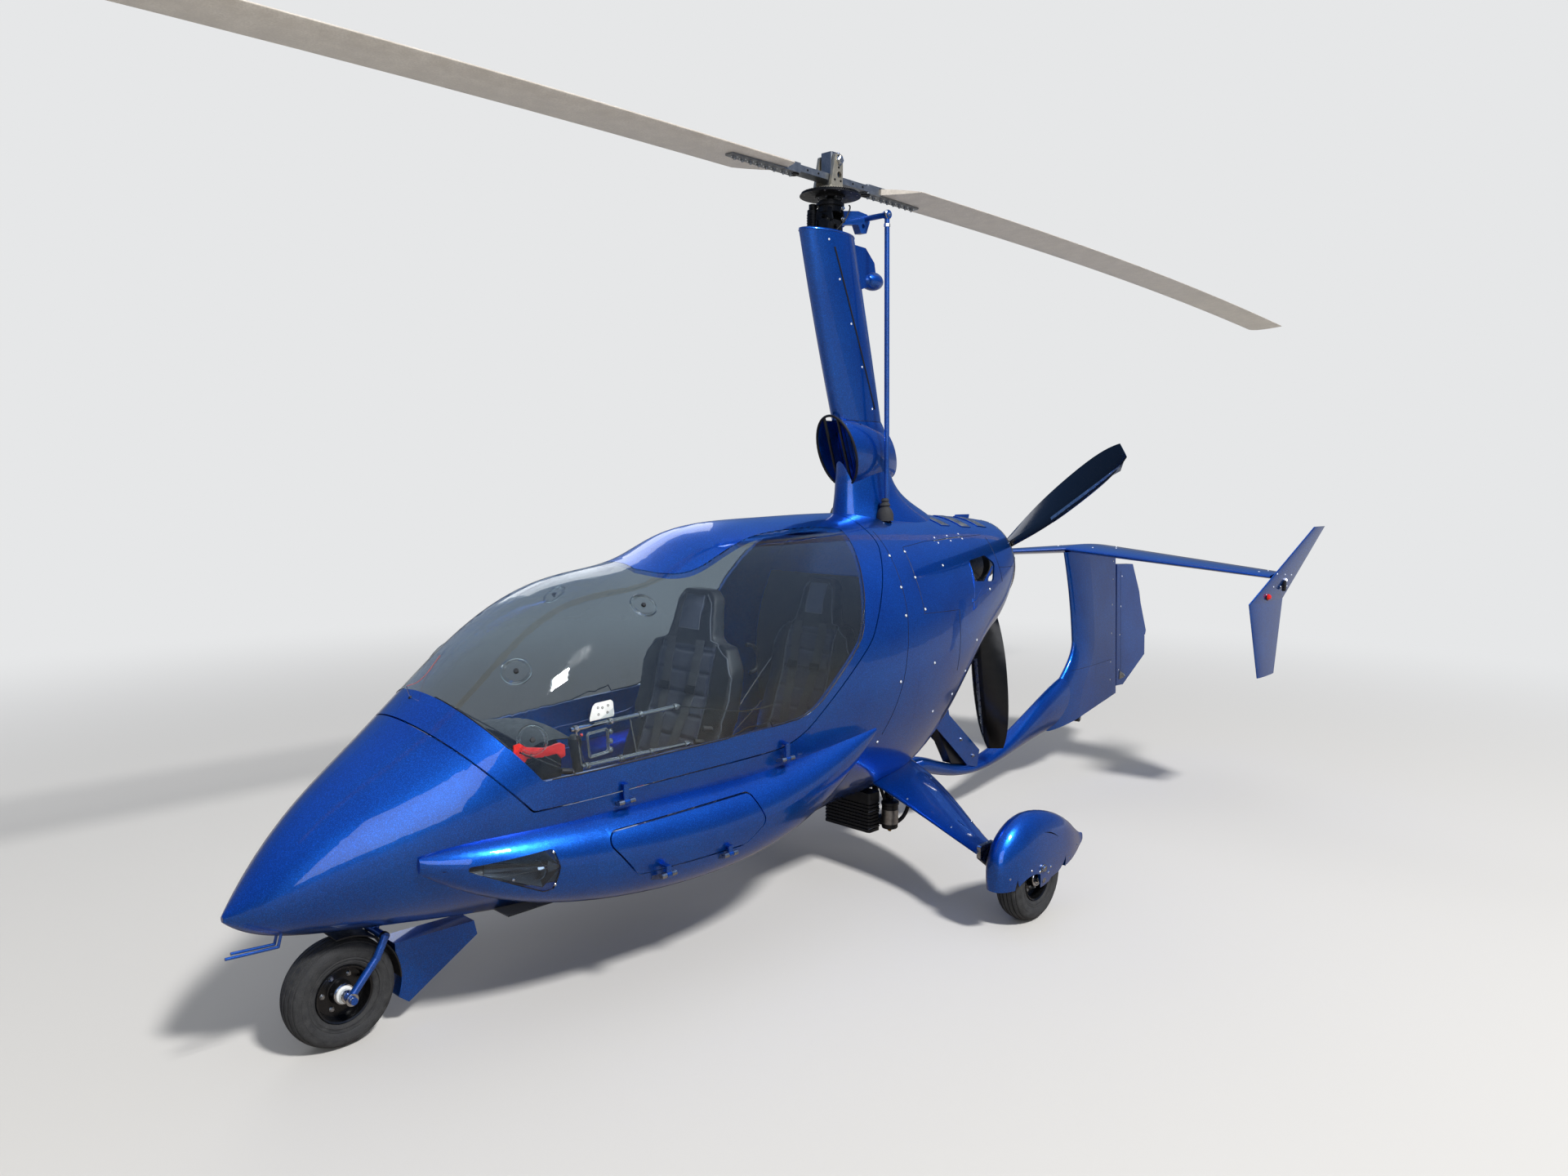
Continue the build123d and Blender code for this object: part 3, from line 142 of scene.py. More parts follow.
@dataclass(frozen=True)
class Finish:
    """A surface finish that builds its own material.

    Args:
        name: what the real finish is.
        colour: main sRGB colour.
        second: colour that it varies to.
        roughness: middle roughness.
        metallic: 1 for bare metal.
        grain: size of the pattern in metres.
        relief: height of the pattern's bumps in metres.
    """

    name: str
    colour: str
    second: str
    roughness: float = 0.4
    metallic: float = 0.0
    grain: float = 0.004
    relief: float = 0.0002

    def start(self) -> tuple[bpy.types.Material, bpy.types.NodeTree, bpy.types.NodeSocket]:
        """Open a new material.

        Returns:
            The material, its empty tree and Object coordinates.
        """
        material = bpy.data.materials.new(self.name)
        material.use_nodes = True
        tree = material.node_tree
        tree.nodes.clear()
        place = add_node(tree, "ShaderNodeTexCoord")
        return material, tree, place.outputs["Object"]

    def close(self, material: bpy.types.Material, tree: bpy.types.NodeTree,
              shader: bpy.types.Node) -> bpy.types.Material:
        """Join the shader to the output.

        Args:
            material: the material that start gave.
            tree: its node tree.
            shader: the node whose first output is the surface.

        Returns:
            The finished material.
        """
        add_node(tree, "ShaderNodeOutputMaterial", {"Surface": shader.outputs[0]})
        material.diffuse_color = linear(self.colour)
        return material

    def build(self) -> bpy.types.Material:
        """Build the plain form: mottled colour, uneven gloss and fine relief."""
        material, tree, place = self.start()
        fine = noise(tree, place, 1 / self.grain, 3.0)
        wide = noise(tree, place, 0.12 / self.grain, 2.0)
        mix = joined(tree, "MULTIPLY", fine, wide)
        colour = colour_ramp(tree, mix, [(0.12, self.second), (0.42, self.colour)])
        gloss = spread(tree, wide, (0.3, 0.7),
                       (self.roughness * 0.85, min(1.0, self.roughness * 1.2)))
        shader = add_node(tree, "ShaderNodeBsdfPrincipled",
                          {"Base Color": colour, "Roughness": gloss, "Metallic": self.metallic,
                           "Normal": relief_of(tree, fine, self.relief, 0.6)})
        return self.close(material, tree, shader)


@dataclass(frozen=True)
class CandyLacquer(Finish):
    """Metallic lacquer under a deep clear coat: coarse flakes glint in a mottled blue."""

    flake: float = 0.0016

    def build(self) -> bpy.types.Material:
        """Build the flakes, the mottling and the clear coat."""
        material, tree, place = self.start()
        flakes = add_node(tree, "ShaderNodeTexVoronoi", {"Vector": place, "Scale": 1 / self.flake})
        glint = add_node(tree, "ShaderNodeSeparateColor", {"Color": flakes.outputs["Color"]})
        cloud = noise(tree, place, 5.0, 3.0)
        body = colour_ramp(tree, cloud, [(0.25, self.second), (0.6, self.colour)])
        lift = spread(tree, glint.outputs[0], (0.55, 1.0), (0.92, 1.75))
        colour = add_node(tree, "ShaderNodeVectorMath", {0: body, "Scale": lift}, operation="SCALE")
        bump = relief_of(tree, glint.outputs[1], 0.00012, 0.45)
        shader = add_node(tree, "ShaderNodeBsdfPrincipled",
                          {"Base Color": colour.outputs[0], "Roughness": self.roughness,
                           "Metallic": self.metallic, "Normal": bump,
                           "Coat Weight": 1.0, "Coat Roughness": 0.03, "Coat IOR": 1.5})
        return self.close(material, tree, shader)


@dataclass(frozen=True)
class ClearAcrylic(Finish):
    """Blown acrylic sheet, faintly smoked, with fine wiping scratches."""

    def build(self) -> bpy.types.Material:
        """Build a sheet that lets lamps shine into the cabin."""
        material, tree, place = self.start()
        turned = add_node(tree, "ShaderNodeMapping",
                          {"Vector": place, "Rotation": (0.3, 0.5, 0.8), "Scale": (6.0, 60.0, 6.0)})
        scratch = noise(tree, turned.outputs[0], 9.0, 4.0)
        wear = spread(tree, scratch, (0.60, 0.75), (self.roughness, 0.12))
        path = add_node(tree, "ShaderNodeLightPath")
        open_way = joined(tree, "MULTIPLY", path.outputs["Is Shadow Ray"], -0.8)
        shader = add_node(tree, "ShaderNodeBsdfPrincipled",
                          {"Base Color": linear(self.colour), "Roughness": wear,
                           "Transmission Weight": 1.0, "IOR": 1.49,
                           "Alpha": joined(tree, "ADD", open_way, 1.0)})
        return self.close(material, tree, shader)


@dataclass(frozen=True)
class Weave(Finish):
    """Woven cloth: crossed threads, matt with a soft sheen at grazing light."""

    def build(self) -> bpy.types.Material:
        """Build warp and weft from two crossed wave patterns."""
        material, tree, place = self.start()
        waves = [
            add_node(tree, "ShaderNodeTexWave",
                     {"Vector": place, "Scale": 0.314 / self.grain, "Distortion": 0.6},
                     bands_direction=way)
            for way in ("X", "Z")
        ]
        cross = joined(tree, "MULTIPLY", waves[0].outputs["Fac"], waves[1].outputs["Fac"])
        tone = joined(tree, "MULTIPLY", cross, noise(tree, place, 14.0, 3.0))
        colour = colour_ramp(tree, tone, [(0.0, self.second), (0.3, self.colour)])
        shader = add_node(tree, "ShaderNodeBsdfPrincipled",
                          {"Base Color": colour, "Roughness": self.roughness,
                           "Normal": relief_of(tree, cross, self.relief, 0.8),
                           "Sheen Weight": 0.35, "Sheen Roughness": 0.5})
        return self.close(material, tree, shader)


@dataclass(frozen=True)
class GlowingLamp(Finish):
    """Lamp lens, lit faintly from inside."""

    strength: float = 0.4

    def build(self) -> bpy.types.Material:
        """Build a coloured lens with a little light of its own."""
        material, tree, _ = self.start()
        shader = add_node(tree, "ShaderNodeBsdfPrincipled",
                          {"Base Color": linear(self.colour), "Roughness": self.roughness,
                           "Emission Color": linear(self.colour), "Emission Strength": self.strength})
        return self.close(material, tree, shader)


class Skin(Enum):
    """The finishes of this machine."""

    # Candy blue lacquer on glass fibre: coarse flake under a wet clear coat
    LACQUER = CandyLacquer("candy_blue_lacquer", "0A53AE", "0848A0", 0.30, 0.86)
    # Cast acrylic, lightly smoked grey-blue
    ACRYLIC = ClearAcrylic("smoked_acrylic", "C9D3D8", "AEB8BE", 0.015)
    # Clear lamp cover, blue from the lacquer round it
    LENS = ClearAcrylic("lamp_cover_acrylic", "BFD8F2", "9FC0E8", 0.02)
    # Powder-coated extrusion, warm grey
    BLADE = Finish("powder_coated_extrusion", "CFC7BB", "B9B0A4", 0.42, 0.0, 0.006, 0.00005)
    # Grey anodised aluminium bar
    ANODISED = Finish("grey_anodised_aluminium", "8F9294", "777A7C", 0.38, 0.85, 0.003, 0.00005)
    # Hard-anodised plate, beige-grey
    HARD_ANODISED = Finish("hard_anodised_plate", "A69F8E", "8C8677", 0.45, 0.6, 0.004, 0.00006)
    # Bare machined steel: bright, with fine turning marks
    STEEL = Finish("bare_turned_steel", "B9BBBD", "8E9193", 0.28, 1.0, 0.002, 0.00004)
    # Stainless ring, brushed
    BRUSHED = Finish("brushed_stainless", "B4B2AE", "8D8B88", 0.34, 1.0, 0.0012, 0.00004)
    # Tube in body colour
    PAINTED_TUBE = CandyLacquer("blue_lacquered_tube", "0A4A9C", "083A80", 0.38, 0.6)
    # Oiled black oxide: dull, almost no highlight
    BLACK_STEEL = Finish("black_oxide_steel", "2A2A2B", "141415", 0.45, 0.7, 0.002, 0.00006)
    # Black gelcoat over composite: near mirror
    CARBON = Finish("black_gelcoat_composite", "0B0B0C", "040404", 0.16, 0.0, 0.02, 0.00002)
    # Sand-cast alloy: grey and pitted
    CAST = Finish("sand_cast_aluminium", "8C8C8A", "5F5F5E", 0.55, 0.9, 0.0016, 0.0003)
    # Moulded black plastic with a fine grain
    PLASTIC = Finish("grained_black_abs", "1B1B1C", "0E0E0F", 0.55, 0.0, 0.0014, 0.00015)
    # Scuffed tyre rubber: dusty grey, no shine
    RUBBER = Finish("worn_tyre_rubber", "3A3A3A", "1F1F20", 0.82, 0.0, 0.0022, 0.0003)
    # Black enamel on the rims: tight highlights
    ENAMEL = Finish("black_enamel", "121213", "080809", 0.25, 0.0, 0.01, 0.00003)
    # Navy seat cloth of the sewn middle
    CLOTH = Weave("navy_black_seat_cloth", "232B42", "171D30", 0.85, 0.0, 0.0022, 0.0004)
    # Paler cloth of the headrest panel
    PALE_CLOTH = Weave("grey_blue_seat_cloth", "4A5268", "343A4E", 0.8, 0.0, 0.0022, 0.0004)
    # Smooth black upholstery hide with a fine pebble grain
    HIDE = Finish("black_upholstery_hide", "17181C", "0B0B0E", 0.46, 0.0, 0.0016, 0.0003)
    # Grey cord along the seams
    PIPING = Finish("grey_corded_piping", "5E626C", "44474F", 0.6, 0.0, 0.0012, 0.0002)
    # Harness webbing: ribbed and matt
    WEBBING = Weave("black_harness_webbing", "24252A", "0D0D10", 0.7, 0.0, 0.0016, 0.0004)
    # Cabin carpet: takes nearly all light
    CARPET = Weave("charcoal_loop_carpet", "1A1B1F", "0C0D10", 0.95, 0.0, 0.0024, 0.0008)
    # Chromed and polished fittings: near mirror with fine wiping marks
    POLISHED = Finish("polished_chrome_steel", "D8DADC", "BFC2C5", 0.12, 1.0, 0.002, 0.00001)
    # Turned brass: warm small glints
    BRASS = Finish("turned_brass", "C79F52", "A37F38", 0.3, 1.0, 0.002, 0.00003)
    # Black anodised fittings with a grey sheen
    ANODISED_BLACK = Finish("black_anodised_aluminium", "1C1D1F", "111214", 0.38, 0.8, 0.002, 0.00004)
    # Moulded nylon: screw heads, spacers
    NYLON_SCREW = Finish("white_nylon_screw", "DCE2EA", "C3CAD4", 0.35, 0.0, 0.002, 0.00003)
    WHITE_NYLON = Finish("white_moulded_nylon", "E2E4E2", "CBCDCB", 0.4, 0.0, 0.003, 0.00005)
    # Smooth hose rubber, softly lit
    HOSE = Finish("black_rubber_hose", "1A1A1B", "0D0D0E", 0.5, 0.0, 0.0016, 0.0002)
    # Dark rubber bead round windows
    GASKET = Finish("black_rubber_gasket", "0C0C0D", "060607", 0.55, 0.0, 0.0016, 0.0001)
    # Painted shade of the gap between two mouldings, drawn as a near-black line along each shut line
    SEAM = Finish("seam_gap_painted_shade", "04081A", "02040C", 0.5, 0.0, 0.002, 0.00005)
    # Satin paint of the panel: no reflections of the window
    SATIN_BLACK = Finish("satin_black_paint", "121314", "0A0A0B", 0.4, 0.0, 0.002, 0.00006)
    # Woven wire of the louvres, bare metal made pale against the lacquer: partly its own colour, partly
    # painted highlight for the bright streaks the slots reflect
    MESH = Finish("pale_wire_mesh_painted_highlight", "B9B39F", "6E6A5E", 0.42, 0.8, 0.003, 0.0008)
    # Dark wire deep in the mast scoop
    MESH_BLACK = Finish("dark_wire_mesh", "26272A", "141416", 0.45, 0.7, 0.002, 0.0003)
    # Metallised bowl of the landing lamp
    REFLECTOR = Finish("vacuum_metallised_reflector", "E6E8EA", "D4D6D9", 0.08, 1.0, 0.004, 0.00002)
    # Stainless pipe, straw brown from heat
    EXHAUST = Finish("heat_tinted_stainless", "9A8C7C", "5E564F", 0.42, 1.0, 0.02, 0.00006)
    # Red plastic of catches and buttons
    RED_CATCH = Finish("red_moulded_catch", "D8261E", "B51B15", 0.34, 0.0, 0.003, 0.00006)
    # Wool of the yaw string: fuzzy and matt
    RED_YARN = Weave("red_wool_yarn", "C22B22", "7E1712", 0.9, 0.0, 0.0006, 0.0002)
    # White scale marks and needles
    PRINT = Finish("white_dial_print", "E8E8E2", "D6D6D0", 0.5, 0.0, 0.002, 0.00001)
    # Unlit display: black and glossy
    SCREEN = Finish("dark_display_glass", "0B1014", "05080A", 0.06, 0.0, 0.02, 0.00001)
    # Clear moulding of the turning vents
    CLEAR_RIM = ClearAcrylic("clear_vent_moulding", "DDE6EA", "C6D2D8", 0.04)
    # Lamp lenses with a faint glow of their own
    LAMP_WHITE = GlowingLamp("white_lamp_lens", "F4F6FA", "E2E6EE", 0.2, 0.0, 0.004, 0.0, 0.9)
    LAMP_RED = GlowingLamp("red_lamp_lens", "C41A12", "8E100A", 0.15, 0.0, 0.004, 0.0, 0.25)
    LAMP_GREEN = GlowingLamp("green_lamp_lens", "128A3C", "0A5E28", 0.15, 0.0, 0.004, 0.0, 0.25)

    def material(self) -> bpy.types.Material:
        """Return this finish's material, built on first use."""
        known = bpy.data.materials.get(self.value.name)
        return known or self.value.build()


NODES_BY_FINISH: dict[Skin, str] = {
    Skin.LACQUER: (
        "cabin_tub locker_door_port locker_door_starboard canopy_frame engine_cowl "
        "mast_fairing mast_base tail_boom rudder stabiliser end_fins gear_legs wheel_spats "
        "nose_fairing mast_beacon keel_braces"),
    Skin.LENS: "landing_lenses",
    Skin.STEEL: "locker_hinges canopy_hinges rudder_lugs main_axles steering_head",
    Skin.ACRYLIC: "canopy_glass",
    Skin.BRUSHED: "cowl_ring",
    Skin.BLACK_STEEL: "mast_tube rotor_gimbal ring_gear",
    Skin.PAINTED_TUBE: "push_rods nose_fork pitch_yoke pitot_tubes",
    Skin.HARD_ANODISED: "hub_towers",
    Skin.ANODISED: "hub_bar blade_straps propeller_hub",
    Skin.BLADE: "rotor_blade_fore rotor_blade_aft",
    Skin.CARBON: "propeller_blades",
    Skin.CAST: "engine_block",
    Skin.PLASTIC: "radiator tail_roller nose_mudguard",
    Skin.RUBBER: "main_tyre_port main_tyre_starboard nose_tyre",
    Skin.ENAMEL: "main_rim_port main_rim_starboard nose_rim",
    Skin.CLOTH: "seat_front seat_rear",
    Skin.SATIN_BLACK: "instrument_panel control_channel",
    Skin.HOSE: "radiator_hoses",
}
NODE_FINISH = {node: finish for finish, nodes in NODES_BY_FINISH.items() for node in nodes.split()}


def dress_nodes() -> None:
    """Give every carried-over CAD node its finish."""
    for name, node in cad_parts.items():
        finish = NODE_FINISH.get(name, Skin.PLASTIC)
        node.data.materials.clear()
        node.data.materials.append(finish.material())
        LOG.info("node %s in %s", name, finish.value.name)


def aimed(point: Vector | tuple, direction: Vector | tuple, spin: float = 0.0) -> Matrix:
    """Stand a part's own Z along a direction.

    Args:
        point: where the part's own origin goes, in metres.
        direction: where its Z points.
        spin: turn about that direction, in degrees.

    Returns:
        The matrix that places the part.
    """
    turn = Vector(direction).to_track_quat("Z", "Y").to_matrix().to_4x4()
    return Matrix.Translation(point) @ turn @ Matrix.Rotation(math.radians(spin), 4, "Z")


def across(side: float, x: float, y: float, z: float) -> Matrix:
    """Stand a part's own Z outboard at a place on one flank."""
    return aimed((side * x, y, z), (side, 0, 0))


class Hide:
    """The skin of CAD nodes, for setting small pieces exactly on it."""

    def __init__(self, *nodes: str | bpy.types.Mesh) -> None:
        """Gather the triangles.

        Args:
            nodes: names of CAD nodes, or meshes of this script's own.
        """
        part = bmesh.new()
        for node in nodes:
            part.from_mesh(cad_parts[node].data if isinstance(node, str) else node)
        self.tree = BVHTree.FromBMesh(part)
        part.free()

    def hit(self, start: Vector | tuple, direction: Vector | tuple) -> tuple[Vector, Vector]:
        """Find where a line first meets the skin.

        Args:
            start: where the line starts.
            direction: where it goes.

        Returns:
            The point on the skin and its normal, which faces the start.
        """
        way = Vector(direction)
        point, normal, _, _ = self.tree.ray_cast(Vector(start), way)
        if point is None:
            point, normal, _, _ = self.tree.find_nearest(Vector(start))
        return point, normal if normal.dot(way) < 0 else -normal

    def flank(self, side: float, y: float, z: float) -> tuple[Vector, Vector]:
        """Point and normal of the skin seen level from one side."""
        return self.hit((side * 1.6, y, z), (-side, 0, 0))

    def roof(self, x: float, y: float) -> tuple[Vector, Vector]:
        """Point and normal of the skin seen from above."""
        return self.hit((x, y, 3.4), DOWN)


Profile = list[tuple[float, float]]


def along(line: Profile, steps: int, closed: bool = False) -> Profile:
    """Divide each stretch of a line evenly.

    Args:
        line: its corners.
        steps: points for each stretch, its start among them and its end not.
        closed: whether a last stretch leads back to the first corner.

    Returns:
        The points in order.
    """
    ends = line[1:] + (line[:1] if closed else [])
    return [(a0 + step / steps * (a1 - a0), b0 + step / steps * (b1 - b0))
            for (a0, b0), (a1, b1) in zip(line, ends) for step in range(steps)]


class Form:
    """One piece while it is being built, with the finish of each of its parts."""

    def __init__(self, name: str) -> None:
        """Start an empty piece.

        Args:
            name: the piece's name.
        """
        self.name = name
        self.shape = bmesh.new()
        self.finishes: list[Skin] = []

    def take(self, part: bmesh.types.BMesh, finish: Skin, place: Matrix = Matrix()) -> None:
        """Clean a part, place it and add it to the piece.

        Args:
            part: the part, which is used up.
            finish: its finish.
            place: matrix that places it.
        """
        if finish not in self.finishes:
            self.finishes.append(finish)
        bmesh.ops.remove_doubles(part, verts=part.verts, dist=1e-6)
        bmesh.ops.transform(part, matrix=place, verts=part.verts)
        bmesh.ops.recalc_face_normals(part, faces=part.faces)
        for face in part.faces:
            face.material_index = self.finishes.index(finish)
            face.smooth = True
        spare = bpy.data.meshes.new("spare")
        part.to_mesh(spare)
        part.free()
        self.shape.from_mesh(spare)
        bpy.data.meshes.remove(spare)

    def turned(self, profile: Profile, finish: Skin, place: Matrix, steps: int = 24,
               ring: bool = False) -> None:
        """Turn a profile about its own Z, as on a lathe.

        Args:
            profile: radius and height of each corner.
            finish: the part's finish.
            place: matrix that places it.
            steps: divisions round it.
            ring: whether the profile closes on itself, off the axis.
        """
        part = bmesh.new()
        corners = [part.verts.new((r, 0, h)) for r, h in profile]
        pairs = list(zip(corners, corners[1:]))
        if ring:
            pairs.append((corners[-1], corners[0]))
        edges = [part.edges.new(pair) for pair in pairs]
        bmesh.ops.spin(part, geom=corners + edges, cent=(0, 0, 0), axis=UP,
                       angle=math.tau, steps=steps, use_merge=True)
        self.take(part, finish, place)

    def bar(self, start: Vector | tuple, end: Vector | tuple, radius: float, finish: Skin,
            steps: int = 12) -> None:
        """Round bar between two points, its ends chamfered."""
        way = Vector(end) - Vector(start)
        cut = min(0.25 * radius, 0.2 * way.length)
        long = way.length
        profile = [(0, 0), (radius - cut, 0), (radius, cut), (radius, long - cut),
                   (radius - cut, long), (0, long)]
        self.turned(profile, finish, aimed(start, way), steps)

    def ring(self, point: Vector | tuple, direction: Vector | tuple, outer: float, inner: float,
             depth: float, finish: Skin, steps: int = 32) -> None:
        """Flat ring standing on a point, its outer edge chamfered."""
        cut = 0.2 * min(depth, outer - inner)
        profile = [(inner, 0), (outer, 0), (outer, depth - cut), (outer - cut, depth),
                   (inner + cut, depth), (inner, depth - cut)]
        self.turned(profile, finish, aimed(point, direction), steps, ring=True)

    def plate(self, outline: Profile, thickness: float, finish: Skin, place: Matrix,
              edge: float = 0.0006) -> None:
        """Flat plate with bevelled edges, its outline in its own XY.

        Args:
            outline: corners of the outline.
            thickness: along its own Z.
            finish: the plate's finish.
            place: matrix that places it.
            edge: width of the bevel.
        """
        part = bmesh.new()
        base = part.faces.new([part.verts.new((x, y, 0)) for x, y in outline])
        grown = bmesh.ops.extrude_face_region(part, geom=[base])["geom"]
        top = [v for v in grown if isinstance(v, bmesh.types.BMVert)]
        bmesh.ops.translate(part, vec=(0, 0, thickness), verts=top)
        bmesh.ops.bevel(part, geom=part.edges[:], offset=edge, segments=2, profile=0.5,
                        affect="EDGES", material=-1, clamp_overlap=True)
        self.take(part, finish, place)

    def block(self, size: tuple[float, float, float], finish: Skin, place: Matrix,
              edge: float = 0.002) -> None:
        """Block with rounded edges, standing on its own origin.

        Args:
            size: along its own X, Y and Z.
            finish: the block's finish.
            place: matrix that places it.
            edge: radius of the rounding.
        """
        part = bmesh.new()
        bmesh.ops.create_cube(part, size=1.0)
        bmesh.ops.translate(part, vec=(0, 0, 0.5), verts=part.verts)
        bmesh.ops.scale(part, vec=size, verts=part.verts)
        bmesh.ops.bevel(part, geom=part.edges[:], offset=edge, segments=3, profile=0.5,
                        affect="EDGES", material=-1, clamp_overlap=True)
        self.take(part, finish, place)

    def hexagon(self, point: Vector | tuple, direction: Vector | tuple, flats: float,
                height: float, finish: Skin) -> None:
        """Hexagon bolt head or nut on its washer."""
        self.ring(point, direction, 0.72 * flats, 0.1 * flats, 0.12 * flats, finish, 16)
        part = bmesh.new()
        bmesh.ops.create_cone(part, cap_ends=True, segments=6, radius1=0.577 * flats,
                              radius2=0.577 * flats, depth=height)
        bmesh.ops.translate(part, vec=(0, 0, height / 2 + 0.12 * flats), verts=part.verts)
        bmesh.ops.bevel(part, geom=part.edges[:], offset=0.05 * flats, segments=1, profile=0.5,
                        affect="EDGES", material=-1, clamp_overlap=True)
        self.take(part, finish, aimed(point, direction, 15))

    def bolts(self, place: Matrix, direction: Vector | tuple, count: int, radius: float,
              flats: float, height: float, finish: Skin, lift: float = 0.0) -> None:
        """Circle of hexagon bolts.

        Args:
            place: middle of the circle, its own Z square to it.
            direction: where the heads face.
            count: number of bolts.
            radius: of the circle.
            flats: width of a head.
            height: of a head.
            finish: the bolts' finish.
            lift: height of the circle over the place.
        """
        for spot in range(count):
            turn = place @ Matrix.Rotation(math.tau * spot / count, 4, "Z")
            self.hexagon(turn @ Vector((radius, 0, lift)), direction, flats, height, finish)

    def screw(self, point: Vector | tuple, direction: Vector | tuple, radius: float,
              finish: Skin) -> None:
        """Domed screw head with its socket, sunk a little into the skin."""
        profile = [(0, 0.2 * radius), (0.34 * radius, 0.2 * radius), (0.36 * radius, 0.52 * radius),
                   (0.75 * radius, 0.4 * radius), (radius, 0.05 * radius), (radius, -0.4 * radius),
                   (0, -0.4 * radius)]
        self.turned(profile, finish, aimed(point, direction), 12)

    def wire(self, points: list, radius: float, finish: Skin, closed: bool = False,
             smooth: bool = False) -> None:
        """Round wire, seam or trim along a line.

        Args:
            points: the line's points.
            radius: the wire's radius.
            finish: its finish.
            closed: whether it closes on itself.
            smooth: whether the line is a smooth curve through the run of points.
        """
        curve = bpy.data.curves.new("wire", "CURVE")
        curve.dimensions = "3D"
        line = curve.splines.new("NURBS" if smooth else "POLY")
        line.points.add(len(points) - 1)
        for spot, point in zip(line.points, points):
            spot.co = (*point, 1.0)
        if smooth:
            line.order_u = 3
            line.use_endpoint_u = not closed
            line.resolution_u = 5
        line.use_cyclic_u = closed
        curve.bevel_depth = radius
        curve.bevel_resolution = 1 if radius < 0.002 else 3
        curve.use_fill_caps = True
        holder = bpy.data.objects.new("wire", curve)
        mesh = bpy.data.meshes.new_from_object(holder)
        part = bmesh.new()
        part.from_mesh(mesh)
        bpy.data.objects.remove(holder)
        bpy.data.curves.remove(curve)
        bpy.data.meshes.remove(mesh)
        self.take(part, finish)

    def band(self, rows: list[list[Vector]], thickness: float, finish: Skin) -> None:
        """Sheet through rows of points, given a thickness.

        Args:
            rows: rows of points, each as long as the others.
            thickness: of the sheet, in metres.
            finish: its finish.
        """
        part = bmesh.new()
        bmesh.ops.create_grid(part, x_segments=len(rows[0]) - 1, y_segments=len(rows) - 1, size=0.5)
        part.verts.ensure_lookup_table()
        wide = len(rows[0])
        for spot, vert in enumerate(part.verts):
            vert.co = rows[spot // wide][spot % wide]
        bmesh.ops.recalc_face_normals(part, faces=part.faces)
        bmesh.ops.solidify(part, geom=part.faces[:], thickness=thickness)
        self.take(part, finish)

    def publish(self, body: str, crease: float = 32.0) -> bpy.types.Object:
        """Make the piece an object that rides on a body.

        Args:
            body: name of the CAD body that carries it.
            crease: angle in degrees past which an edge stays sharp.

        Returns:
            The piece's object.
        """
        mesh = bpy.data.meshes.new(self.name)
        self.shape.to_mesh(mesh)
        self.shape.free()
        for finish in self.finishes:
            mesh.materials.append(finish.material())
        mesh.set_sharp_from_angle(angle=math.radians(crease))
        piece = bpy.data.objects.new(self.name, mesh)
        bpy.context.scene.collection.objects.link(piece)
        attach(piece, body)
        LOG.info("%s on %s, %d faces", self.name, body, len(mesh.polygons))
        return piece


